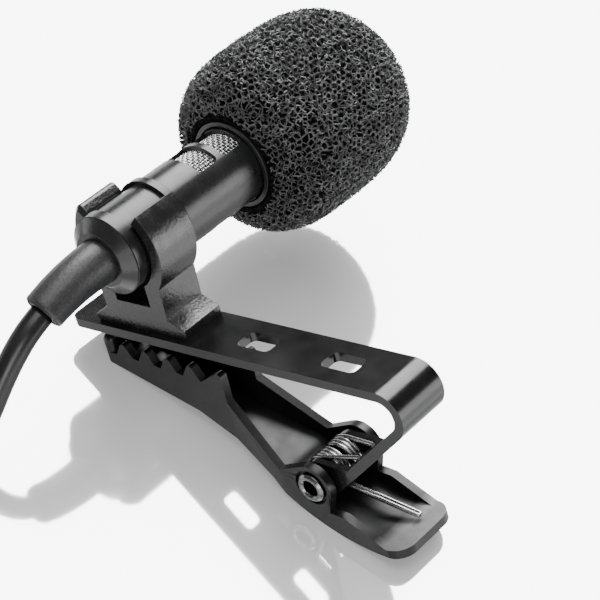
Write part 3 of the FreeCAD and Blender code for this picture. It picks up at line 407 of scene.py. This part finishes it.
CORD_RADIUS = 1.25
BOOT_STRAIGHT = 6.0
BOOT_END = 12.5
BOOT_SAG = math.radians(26.0)
BOW_RADIUS = (BOOT_END - BOOT_STRAIGHT) / math.sin(BOOT_SAG)
EXIT = on_mic(-BOOT_END, 0.0, -BOW_RADIUS * (1 - math.cos(BOOT_SAG)))
COIL_LOW, COIL_HIGH = (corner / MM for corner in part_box("cord_coil"))
COIL_CENTRE = (COIL_LOW + COIL_HIGH) / 2
PLUG_START = Vector((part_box("plug_relief")[0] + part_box("plug_relief")[1]) / 2 / MM)
PLUG_START.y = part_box("plug_relief")[0].y / MM
LEAD_END = 4.55, -27.7          # across and along, from the boot's end to the coil's first turn
COIL_OUTER = 19.45              # radius of the outermost turn's middle
COIL_PITCH = 2.5
COIL_LAYER_TURNS = 3.756
LAYER_RISE = 0.3                # turns in which the cord climbs to the next layer
FULL_TURNS = 15
TIE_ANGLE = math.radians(238.1)
TIE_LIFT = 0.26                 # how far the tape lifts the cord off the table
POINTS_PER_TURN = 24


def coil_points():
    """Turns of the put-away cord: four layers, in, out, in and out again, then down beside them."""
    shrink = 1 / math.cos(math.pi / POINTS_PER_TURN)
    begin = math.degrees(math.atan2(LEAD_END[1] + EXIT.y - COIL_CENTRE.y,
                                    LEAD_END[0] + EXIT.x - COIL_CENTRE.x))
    winding = COIL_LAYER_TURNS * 4
    total = FULL_TURNS + (begin + 180) / 360
    count = round(total * POINTS_PER_TURN)
    points = []
    for number in range(1, count + 1):
        turns = total * number / count
        layer = min(int(turns / COIL_LAYER_TURNS), 3)
        into = min(turns / COIL_LAYER_TURNS - layer, 1.0)
        inward = into if layer % 2 == 0 else 1 - into
        radius = COIL_OUTER - COIL_PITCH * COIL_LAYER_TURNS * inward
        climb = LAYER_RISE / COIL_LAYER_TURNS
        rise = layer + smooth_step((into - 1 + climb) / climb if layer < 3 else 0.0)
        height = CORD_RADIUS + COIL_PITCH * rise
        angle = math.radians(begin - 360 * turns)
        from_tie = abs(math.remainder(angle - TIE_ANGLE, math.tau))
        height += TIE_LIFT * (1 - smooth_step((from_tie - 0.2) / 0.3))
        if turns > winding:
            after = (turns - winding) / (total - winding)
            radius = (COIL_OUTER + 2.65 * smooth_step(after / 0.2)
                      + 0.7 * smooth_step((after - 0.45) / 0.17)
                      - 0.75 * smooth_step((after - 0.78) / 0.22))
            height = CORD_RADIUS + COIL_PITCH * 3 * (1 - smooth_step((after - 0.12) / 0.44))
        points.append(COIL_CENTRE + Vector((radius * shrink * math.cos(angle),
                                            radius * shrink * math.sin(angle),
                                            height - COIL_CENTRE.z)))
    return points


def smooth_step(share):
    """0 to 1 without a kink at either end."""
    share = min(max(share, 0.0), 1.0)
    return share * share * (3 - 2 * share)


def cord_route():
    """Control points in millimetres: from the boot, round the coil's turns and on to the plug."""
    drop = CORD_RADIUS - EXIT.z
    first = 1.7
    lead = [(0, 0, 0), (0, -first * math.cos(BOOT_SAG), -first * math.sin(BOOT_SAG)),
            (0, -3.34, -2.32), (0.05, -5.35, -4.8), (0.2, -7.2, -7.7), (0.5, -9.9, -10.92),
            (1.0, -14.17, drop + 0.08), (1.9, -19.0, drop), (3.1, -23.4, drop), (*LEAD_END, drop)]
    fall = CORD_RADIUS - PLUG_START.z
    tail = [(-0.6, -12.6, fall), (-0.1, -8.2, fall * 0.62), (0, -4.0, 0), (0, 0, 0)]
    return ([EXIT + Vector(step) for step in lead] + coil_points()
            + [PLUG_START + Vector(step) for step in tail])


def smooth_line(route, name):
    """Points in metres along the smooth line that a route's points control."""
    curve = bpy.data.curves.new(name, "CURVE")
    curve.dimensions = "3D"
    spline = curve.splines.new("NURBS")
    spline.points.add(len(route) - 1)
    for point, place in zip(spline.points, route):
        point.co = (*(place * MM), 1.0)
    spline.order_u = 3
    spline.use_endpoint_u = True
    spline.resolution_u = 6
    item = bpy.data.objects.new(name, curve)
    scene.collection.objects.link(item)
    bpy.context.view_layer.update()
    shown = item.evaluated_get(bpy.context.evaluated_depsgraph_get())
    line = bpy.data.meshes.new_from_object(shown)
    points = [vertex.co.copy() for vertex in line.vertices]
    bpy.data.meshes.remove(line)
    bpy.data.objects.remove(item)
    bpy.data.curves.remove(curve)
    return points


def make_cord():
    """The cord from the boot to the plug, with its tape."""
    path = smooth_line(cord_route(), "cord_line")
    points, faces = tube_parts(path, CORD_RADIUS * MM, 20)
    cord = mesh_object("cord", points, faces)
    dress(cord, "cord_sheath")
    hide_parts("cord_lead", "cord_coil", "plug_lead")
    tie = make_tie()
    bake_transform(cord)


TIE_SHEET, TIE_WIDE = 0.4, 6.0      # thickness and width of the tape
TIE_MIDDLE = 14.5                   # radius of the middle of the coil's section


def tie_path():
    """Line of the tape round the coil's section, once round, with its end lapped over the top.

    Each row is a point (away from the coil's centre, up) and its direction out of the coil.
    """
    wide, low, high, corner = 6.29, TIE_LIFT, TIE_LIFT + 10.03, 1.4
    corners = [(wide - corner, high - corner, 90), (wide - corner, low + corner, 0),
               (-wide + corner, low + corner, -90), (-wide + corner, high - corner, -180)]
    line = [(-3.0 + 0.5 * step, high, 0.0, 1.0) for step in range(12)]
    for across, up, start in corners:
        for step in range(9):
            turn = math.radians(start - 90 * step / 8)
            line.append((across + corner * math.cos(turn), up + corner * math.sin(turn),
                         math.cos(turn), math.sin(turn)))
    line += [(-4.6 + 0.45 * step, high, 0.0, 1.0) for step in range(20)]
    count = len(line)
    lapped = []
    for number, (across, up, out_across, out_up) in enumerate(line):
        lift = (TIE_SHEET + 0.04) * smooth_step((number - (count - 21)) / 5)
        lapped.append((across + out_across * lift, up + out_up * lift, out_across, out_up))
    return lapped


def make_tie():
    """Tape round the coil's turns, with its end lapped over on top."""
    strips = 14
    line = tie_path()
    points = []
    for grow in (0.0, TIE_SHEET):
        for strip in range(strips + 1):
            angle = TIE_ANGLE + TIE_WIDE / TIE_MIDDLE * (strip / strips - 0.5)
            thin = 0.1 if strip in (0, strips) else 0.0
            for across, up, out_across, out_up in line:
                reach = grow + (thin if grow == 0 else -thin)
                radius = TIE_MIDDLE + across + out_across * reach
                reach_up = min(reach, TIE_LIFT - 0.02) if out_up < 0 else reach
                points.append(Vector((COIL_CENTRE.x + radius * math.cos(angle),
                                      COIL_CENTRE.y + radius * math.sin(angle),
                                      max(up + out_up * reach_up, 0.01))) * MM)
    count = len(line)
    under, over = 0, count * (strips + 1)
    faces = []
    for strip in range(strips):
        for number in range(count - 1):
            low, high_row = strip * count + number, (strip + 1) * count + number
            faces.append((under + low, under + low + 1, under + high_row + 1, under + high_row))
            faces.append((over + high_row, over + high_row + 1, over + low + 1, over + low))
        for number in (0, count - 1):
            low, high_row = strip * count + number, (strip + 1) * count + number
            faces.append((under + low, under + high_row, over + high_row, over + low))
    for row in (0, strips * count):
        for number in range(count - 1):
            faces.append((under + row + number, under + row + number + 1,
                          over + row + number + 1, over + row + number))
    tie = mesh_object("cord_tape", points, faces)
    dress(tie, "tie_fabric")
    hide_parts("cord_tie")
    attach(tie, "jaw")
    return tie


# Boot: bowed sleeve round the start of the cord

def bow_point(along):
    """Centre and direction of the boot's bow at a distance along it from its straight's end."""
    if along <= 0:
        return on_mic(-BOOT_STRAIGHT - along), Vector((0, -1, 0))
    turn = along / BOW_RADIUS
    centre = on_mic(-BOOT_STRAIGHT - BOW_RADIUS * math.sin(turn), 0,
                    -BOW_RADIUS * (1 - math.cos(turn)))
    return centre, Vector((0, -math.cos(turn), -math.sin(turn)))


def lathe_along(name, profile, sides):
    """Closed form round the boot's line; profile rows are (distance along, radius)."""
    points, faces = [], []
    for along, radius in profile:
        centre, heading = bow_point(along)
        side = Vector((1, 0, 0))
        other = heading.cross(side)
        for step in range(sides):
            angle = math.tau * step / sides
            out = side * math.cos(angle) + other * math.sin(angle)
            points.append((centre + out * radius) * MM)
    rows = len(profile)
    for row in range(rows):
        for step in range(sides):
            after = (step + 1) % sides
            low, high = row * sides, (row + 1) % rows * sides
            faces.append((low + step, low + after, high + after, high + step))
    return mesh_object(name, points, faces)


BOOT_RADIUS, BOOT_TAPER = 2.3, 0.2
BOOT_ROUND = 0.35               # rounding of its end
BOOT_BORE = 1.26
BOOT_ROOT, STUB_ROOT = -1.6, -8.0   # where the boot and the cord in it start, along the boot's line


def make_boot():
    """Bowed sleeve with a rounded end, and the cord's end inside it."""
    length = BOW_RADIUS * BOOT_SAG
    outside = []
    for step in range(60):
        along = BOOT_ROOT + (length - BOOT_ROOT) * (step / 59)
        radius = BOOT_RADIUS - BOOT_TAPER * max(along, 0) / length
        if length - along < BOOT_ROUND:
            into = BOOT_ROUND - (length - along)
            radius -= BOOT_ROUND - math.sqrt(max(BOOT_ROUND ** 2 - into ** 2, 0))
        outside.append((along, radius))
    rim = [(length, 1.75), (length - 0.12, 1.6), (length - 0.6, 1.27),
           (length - 1.5, BOOT_BORE)]
    inside = [(length * 0.5, BOOT_BORE), (0.0, BOOT_BORE), (BOOT_ROOT, BOOT_BORE)]
    boot = lathe_along("boot", outside + rim + inside, 96)
    dress(boot, "boot_rubber")
    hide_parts("cable_boot")
    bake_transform(boot)
    places = [STUB_ROOT, -4.0, BOOT_ROOT] + [length * step / 12 for step in range(13)]
    stub = lathe_along("cord_stub", [(along, CORD_RADIUS - 0.02) for along in places]
                       + [(length, 0.05), (STUB_ROOT, 0.05)], 32)
    dress(stub, "cord_sheath")
    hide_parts("cable_tail")
    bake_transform(stub)


# Foam windscreen: open cells on a core darkened as painted shade

FOAM_MOUTH = 14.4
FOAM_NEAR, FOAM_FAR = 10.3, 11.7                        # its reach each way from the middle
FOAM_RADIUS = 9.9
FOAM_MIDDLE = FOAM_MOUTH + FOAM_NEAR
NEAR_POWER, FAR_POWER = 3.7, 2.95                       # how square its profile is each way
CELL = 0.78
CELL_STRAY = 0.26                                       # share of a cell that its centre strays
GRID = 0.13
SHELL = 0.6                                             # depth that has open cells
STRUT = 0.07
BORE_CLEAR = 5.5                                        # no cells this near the axis at the mouth


def foam_depth(places):
    """Depth below the foam's skin of points (across, along, up) from the axis."""
    along = places[..., 1] - FOAM_MIDDLE
    length = np.where(along < 0, FOAM_NEAR, FOAM_FAR)
    power = np.where(along < 0, NEAR_POWER, FAR_POWER)
    share = np.abs(along) / length
    reach = np.hypot(places[..., 0], places[..., 2]) / FOAM_RADIUS
    level = np.maximum((share ** power + reach ** power) ** (1 / power), 1e-6)
    slope = np.hypot((share / level) ** (power - 1) / length,
                     (reach / level) ** (power - 1) / FOAM_RADIUS)
    return (1 - level) / slope


def lattice(counts):
    """Every whole-number place in a box of that many along each axis."""
    axes = np.meshgrid(*[np.arange(count) for count in counts], indexing="ij")
    return np.stack(axes, -1).reshape(-1, 3)


def cell_labels(low, shape):
    """Number of the nearest cell centre at each point of a grid."""
    source = np.random.default_rng(7)
    high = low + shape * GRID
    counts = ((high - low) / CELL).astype(int) + 2
    base = lattice(counts)
    centres = np.vstack([base, base + 0.5]) * CELL + low - CELL / 2
    centres += source.uniform(-CELL_STRAY, CELL_STRAY, centres.shape) * CELL
    depth = foam_depth(centres)
    centres = centres[(depth > -1.2 * CELL) & (depth < SHELL + 1.2 * CELL)]
    axes = [low[axis] + GRID * np.arange(shape[axis]) for axis in range(3)]
    nearest = np.full(shape, 99.0, np.float32)
    label = np.full(shape, -1, np.int32)
    reach = int(1.05 * CELL / GRID) + 1
    for number, centre in enumerate(centres):
        cell = ((centre - low) / GRID).astype(int)
        begin, end = np.maximum(cell - reach, 0), np.minimum(cell + reach + 1, shape)
        if (begin >= end).any():
            continue
        block = tuple(slice(first, last) for first, last in zip(begin, end))
        off = [(axes[axis][block[axis]] - centre[axis]) ** 2 for axis in range(3)]
        distance = off[0][:, None, None] + off[1][None, :, None] + off[2][None, None, :]
        closer = distance < nearest[block]
        nearest[block][closer] = distance[closer]
        label[block][closer] = number
    return label


def group_means(places, which):
    """Mean place of each group of places."""
    count = np.bincount(which)
    return np.stack([np.bincount(which, places[:, axis]) / count for axis in range(3)], 1)


def foam_struts():
    """Ends of the struts of the open cells: the lines where three cells meet."""
    wide = FOAM_RADIUS + 0.6
    low = np.array([-wide, FOAM_MOUTH - 0.2, -wide])
    high = np.array([wide, FOAM_MIDDLE + FOAM_FAR + 0.4, wide])
    shape = np.ceil((high - low) / GRID).astype(int)
    label = cell_labels(low, shape)
    index = lattice(shape - 1)
    middle = low + (index + 0.5) * GRID
    depth = foam_depth(middle)
    outside = np.hypot(middle[:, 0], middle[:, 2]) > BORE_CLEAR
    inside = (depth > -0.1) & (depth < SHELL) & (outside | (middle[:, 1] > FOAM_MIDDLE))
    index, middle = index[inside], middle[inside]
    corners = np.stack([label[index[:, 0] + i, index[:, 1] + j, index[:, 2] + k]
                        for i in (0, 1) for j in (0, 1) for k in (0, 1)], 1)
    corners.sort(axis=1)
    fresh = np.ones(corners.shape, bool)
    fresh[:, 1:] = corners[:, 1:] != corners[:, :-1]
    kinds = fresh.sum(1)
    nodes_at, ends = [], {}
    for many in range(4, 9):
        chosen = kinds == many
        if not chosen.any():
            continue
        sets = corners[chosen][fresh[chosen]].reshape(-1, many)
        found, which = np.unique(sets, axis=0, return_inverse=True)
        for cells, place in zip(found.tolist(), group_means(middle[chosen], which.ravel())):
            for triple in itertools.combinations(cells, 3):
                ends.setdefault(triple, []).append(len(nodes_at))
            nodes_at.append(place)
    plain = kinds == 3
    sets = corners[plain][fresh[plain]].reshape(-1, 3)
    found, which = np.unique(sets, axis=0, return_inverse=True)
    starts, stops = [], []
    for triple, place in zip(map(tuple, found.tolist()), group_means(middle[plain], which.ravel())):
        at = [nodes_at[number] for number in ends.get(triple, ())]
        if len(at) == 1:
            at.append(2 * place - at[0])
        if len(at) < 2:
            continue
        first, last = max(itertools.combinations(at, 2),
                          key=lambda pair: ((pair[0] - pair[1]) ** 2).sum())
        if 0.03 < np.linalg.norm(last - first) < 0.95 * CELL:
            starts.append(first)
            stops.append(last)
    return np.array(starts), np.array(stops)


def make_cells():
    """Three-sided struts along the lines where the foam's cells meet."""
    starts, stops = foam_struts()
    source = np.random.default_rng(11)
    along = stops - starts
    length = np.maximum(np.linalg.norm(along, axis=1), 1e-6)
    along /= length[:, None]
    helper = source.normal(size=along.shape)
    side = np.cross(along, helper)
    side /= np.maximum(np.linalg.norm(side, axis=1), 1e-6)[:, None]
    other = np.cross(along, side)
    thick = STRUT * source.uniform(0.8, 1.25, len(along))[:, None]
    rings = []
    for ends, reach in ((starts, -0.03), (stops, 0.03)):
        for corner in range(3):
            turn = math.tau * corner / 3
            out = side * math.cos(turn) + other * math.sin(turn)
            rings.append(ends + along * reach + out * thick)
    points = np.stack(rings, 1).reshape(-1, 3) + np.array([AXIS_X, MIDDLE_Y, AXIS_Z])
    base = np.arange(len(along))[:, None] * 6
    faces = np.concatenate([base + np.array([[a, a + 3, b + 3, b]])
                            for a, b in ((0, 1), (1, 2), (2, 0))], 1)
    mesh = bpy.data.meshes.new("foam_cells")
    mesh.vertices.add(len(points))
    mesh.vertices.foreach_set("co", (points * MM).astype(np.float32).ravel())
    quads = faces.reshape(-1, 4)
    mesh.loops.add(quads.size)
    mesh.loops.foreach_set("vertex_index", quads.astype(np.int32).ravel())
    mesh.polygons.add(len(quads))
    mesh.polygons.foreach_set("loop_start", np.arange(0, quads.size, 4, dtype=np.int32))
    mesh.update(calc_edges=True)
    mesh.validate()
    mesh.shade_smooth()
    cells = bpy.data.objects.new("foam_cells", mesh)
    scene.collection.objects.link(cells)
    dress(cells, "black_foam")
    cells.data.materials[0] = materials["foam_strut"]
    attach(cells, "windscreen")


CORE_STEP = 0.25                # distance between the rows of the core's skin


def core_profile():
    """The core's places along the axis, radii and shares of full depth, from mouth to far pole."""
    # From the bore round the lip of the mouth
    line = [(15.6, 4.86), (15.0, 4.86), (14.72, 5.02), (14.6, 5.3), (14.68, 5.75)]
    lip = 0.955                 # share of the near reach at which the lip ends
    for step in range(300):
        share = -lip + lip * step / 299
        line.append((FOAM_MIDDLE + FOAM_NEAR * share,
                     FOAM_RADIUS * (1 - abs(share) ** NEAR_POWER) ** (1 / NEAR_POWER)))
    for step in range(1, 500):
        share = math.sin(math.pi / 2 * step / 499)
        line.append((FOAM_MIDDLE + FOAM_FAR * share,
                     FOAM_RADIUS * max(1 - share ** FAR_POWER, 0.0) ** (1 / FAR_POWER)))
    steps = [0.0]
    for (y0, r0), (y1, r1) in zip(line, line[1:]):
        steps.append(steps[-1] + math.hypot(y1 - y0, r1 - r0))
    even = np.linspace(0.0, steps[-1], int(steps[-1] / CORE_STEP))
    along = np.interp(even, steps, [row[0] for row in line])
    radius = np.interp(even, steps, [row[1] for row in line])
    radius[-1] = 0.004
    return along, radius, np.clip((even - 0.9) / 1.2, 0.0, 1.0)


def make_foam():
    """Core of the foam under its open cells, darker than them as painted shade, with the bore that
    the microphone enters.
    """
    along, radius, share = core_profile()
    source = np.random.default_rng(5)
    sides = 240
    angles = np.arange(sides) * math.tau / sides
    rows = len(along)
    slope_y, slope_r = np.gradient(along), np.gradient(radius)
    length = np.hypot(slope_y, slope_r)
    sink = (SHELL - 0.2 + source.uniform(-0.16, 0.16, (rows, sides))) * share[:, None]
    reach = np.maximum(radius[:, None] - (slope_y / length)[:, None] * sink, 0.003)
    place = along[:, None] + (slope_r / length)[:, None] * sink
    placed = np.stack([reach * np.cos(angles), place, reach * np.sin(angles)], -1).reshape(-1, 3)
    placed += np.array([AXIS_X, MIDDLE_Y, AXIS_Z])
    bore = [(15.6, 4.80), (16.5, 4.80), (16.5, 4.3), (20.5, 4.3), (20.5, 0.004)]
    inside = [on_mic(place, radius * math.cos(angle), radius * math.sin(angle))
              for place, radius in bore for angle in angles]
    points = np.vstack([placed, np.array(inside)]) * MM
    order = [rows + number for number in range(len(bore))][::-1] + list(range(rows))
    faces = []
    for low, high in zip(order, order[1:]):
        for step in range(sides):
            after = (step + 1) % sides
            faces.append((low * sides + step, low * sides + after,
                          high * sides + after, high * sides + step))
    faces.append(tuple(order[0] * sides + step for step in range(sides))[::-1])
    faces.append(tuple(order[-1] * sides + step for step in range(sides)))
    foam = mesh_object("foam", points, faces)
    # the core's near-black stands for the foam's depth: painted shade
    dress(foam, "black_foam")
    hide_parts("foam_windscreen")
    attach(foam, "windscreen")
    make_cells()


# Grille: woven wire behind the windows

def make_grille():
    """Wires along the barrel and rings round it, each passing over and under the others."""
    start, end, radius, wire = 7.5, 15.0, 3.52, 0.085
    around, pitch = 58, 0.385
    rows = int((end - start) / pitch)
    points, faces = [], []
    for number in range(around):
        angle = math.tau * number / around
        line = []
        for step in range(rows * 4 + 1):
            swing = math.cos(math.pi * (step / 4 + number)) * wire
            reach = radius + swing
            line.append(on_mic(start + pitch * step / 4, reach * math.cos(angle),
                               reach * math.sin(angle)) * MM)
        more, sides = tube_parts(line, wire * MM, 5, len(points))
        points += more
        faces += sides
    for row in range(rows + 1):
        ring = []
        for step in range(around * 4):
            angle = math.tau * step / (around * 4)
            reach = radius - math.cos(math.pi * (step / 4 + row)) * wire
            ring.append(on_mic(start + pitch * row, reach * math.cos(angle),
                               reach * math.sin(angle)) * MM)
        base = len(points)
        count = len(ring)
        for number, centre in enumerate(ring):
            outward = Vector((centre.x - AXIS_X * MM, 0, centre.z - AXIS_Z * MM)).normalized()
            for side in range(5):
                turn = math.tau * side / 5
                points.append(centre + (outward * math.cos(turn)
                                        + Vector((0, 1, 0)) * math.sin(turn)) * wire * MM)
        for number in range(count):
            for side in range(5):
                a, b = number * 5, (number + 1) % count * 5
                after = (side + 1) % 5
                faces.append((base + a + side, base + a + after, base + b + after, base + b + side))
    grille = mesh_object("woven_grille", points, faces)
    dress(grille, "silver_mesh")
    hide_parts("grille_mesh")
    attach(grille, "microphone")


# Spring: its coils stay round the pin

def make_spring():
    """The node's own wire, joined up so that it shades smoothly."""
    work = bmesh.new()
    work.from_mesh(nodes["torsion_spring"].data)
    bmesh.ops.remove_doubles(work, verts=work.verts, dist=1e-6)
    work.verts.ensure_lookup_table()
    mesh = bpy.data.meshes.new("spring_wire")
    mesh.from_pydata([tuple(vert.co) for vert in work.verts], [],
                     [[vert.index for vert in face.verts] for face in work.faces])
    work.free()
    mesh.shade_smooth()
    mesh.set_sharp_from_angle(angle=math.radians(50))
    spring = bpy.data.objects.new("spring_wire", mesh)
    scene.collection.objects.link(spring)
    dress(spring, "spring_steel")
    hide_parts("torsion_spring")
    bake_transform(spring)


# Floor and light

def seen_directly(tree):
    """1 for the rays that show a surface as it is: the camera's, mirrored and let through."""
    path = tree.nodes.new("ShaderNodeLightPath")
    seen = path.outputs["Is Camera Ray"]
    for kind in ("Is Glossy Ray", "Is Transmission Ray"):
        node = tree.nodes.new("ShaderNodeMath")
        node.operation = "MAXIMUM"
        tree.links.new(seen, node.inputs[0])
        tree.links.new(path.outputs[kind], node.inputs[1])
        seen = node.outputs["Value"]
    return seen


FLOOR_GLOW = 0.6
GLOSS_ABOVE, GLOSS_ALONG = 0.57, 0.05   # how much the floor mirrors from above and from low down


def make_floor():
    """Glossy white table: it takes the shadow and, seen from above, mirrors the object."""
    size = 3.0
    floor = mesh_object("floor", [Vector((-size, -size, 0)), Vector((size, -size, 0)),
                                  Vector((size, size, 0)), Vector((-size, size, 0))],
                        [(0, 1, 2, 3)])
    material = bpy.data.materials.new("floor")
    material.use_nodes = True
    tree = material.node_tree
    tree.nodes.remove(tree.nodes["Principled BSDF"])
    matt = tree.nodes.new("ShaderNodeBsdfDiffuse")
    matt.inputs["Color"].default_value = (0.9, 0.9, 0.905, 1.0)
    glow = tree.nodes.new("ShaderNodeEmission")
    tree.links.new(ranged(tree, seen_directly(tree), 0.0, 1.0, 0.0, FLOOR_GLOW),
                   glow.inputs["Strength"])
    pale = tree.nodes.new("ShaderNodeAddShader")
    tree.links.new(matt.outputs["BSDF"], pale.inputs[0])
    tree.links.new(glow.outputs["Emission"], pale.inputs[1])
    gloss = tree.nodes.new("ShaderNodeBsdfAnisotropic")
    gloss.inputs["Color"].default_value = (0.95, 0.95, 0.96, 1.0)
    gloss.inputs["Roughness"].default_value = 0.06
    weight = tree.nodes.new("ShaderNodeLayerWeight")
    both = tree.nodes.new("ShaderNodeMixShader")
    tree.links.new(ranged(tree, weight.outputs["Facing"], 0.42, 0.56, GLOSS_ABOVE, GLOSS_ALONG),
                   both.inputs["Fac"])
    tree.links.new(pale.outputs["Shader"], both.inputs[1])
    tree.links.new(gloss.outputs["BSDF"], both.inputs[2])
    tree.links.new(both.outputs["Shader"], tree.nodes["Material Output"].inputs["Surface"])
    floor.data.materials.append(material)


def add_lamp(name, direction, half_angle, level):
    """Square lamp that faces the object, as bright to look at whatever its width."""
    distance = 1.2
    data = bpy.data.lights.new(name, "AREA")
    data.shape = "SQUARE"
    data.size = 2 * distance * math.tan(math.radians(half_angle))
    data.energy = level * math.pi * data.size ** 2
    lamp = bpy.data.objects.new(name, data)
    scene.collection.objects.link(lamp)
    heading = Vector(direction).normalized()
    lamp.location = heading * distance
    lamp.rotation_euler = heading.to_track_quat("Z", "Y").to_euler()


STUDIO_FRONT, STUDIO_BACK = 0.28, 0.1
# Name, direction, half width in degrees seen from the object, and level
LAMPS = (("key", (-0.42, 0.59, 0.69), 19.0, 13.0),
         ("top", (0.0, -0.1, 1.0), 24.0, 3.4),
         ("side", (0.78, 0.57, 0.20), 13.0, 5.0),
         ("front", (0.56, -0.76, 0.30), 12.0, 6.0))


def make_light():
    """Dim studio all round, brighter towards the front and white to the camera, and the lamps."""
    world = bpy.data.worlds.new("world")
    scene.world = world
    world.use_nodes = True
    tree = world.node_tree
    place = tree.nodes.new("ShaderNodeTexCoord")
    split = tree.nodes.new("ShaderNodeSeparateXYZ")
    tree.links.new(place.outputs["Generated"], split.inputs["Vector"])
    level = ranged(tree, split.outputs["Y"], -0.6, 0.6, STUDIO_FRONT, STUDIO_BACK)
    path = tree.nodes.new("ShaderNodeLightPath")
    shown = tree.nodes.new("ShaderNodeMath")
    shown.operation = "MAXIMUM"
    tree.links.new(level, shown.inputs[0])
    tree.links.new(path.outputs["Is Camera Ray"], shown.inputs[1])
    tree.links.new(shown.outputs["Value"], tree.nodes["Background"].inputs["Strength"])
    tree.nodes["Background"].inputs["Color"].default_value = (1.0, 1.0, 1.0, 1.0)
    for lamp in LAMPS:
        add_lamp(*lamp)


materials = make_materials()
make_camera()
make_cord()
make_boot()
make_foam()
make_grille()
make_spring()
softened("clip_arm", 0.14, "black_steel", "arm", segments=3, painted_sheen_sides=True)
softened("lower_jaw", 0.11, "black_steel", "jaw", corner=0.3, look="jaw_steel")
softened("mic_holder", 0.28, "holder_plastic", "arm", segments=3)
softened("mic_barrel", 0.08, "satin_black", "microphone")
softened("tail_cap", 0.1, "satin_black", "microphone")
softened("front_cap", 0.08, "satin_black", "microphone")
softened("windscreen_ring", 0.08, "ring_plastic", "windscreen")
softened("pivot_pin", 0.05, "rivet_steel", "jaw")
for entry in frame["record"]["subparts"]:
    data = nodes[entry["node"]].data
    data.materials.clear()
    data.materials.append(materials[entry["material_slot"]])
    data.shade_smooth()
    data.set_sharp_from_angle(angle=math.radians(30))
make_floor()
make_light()
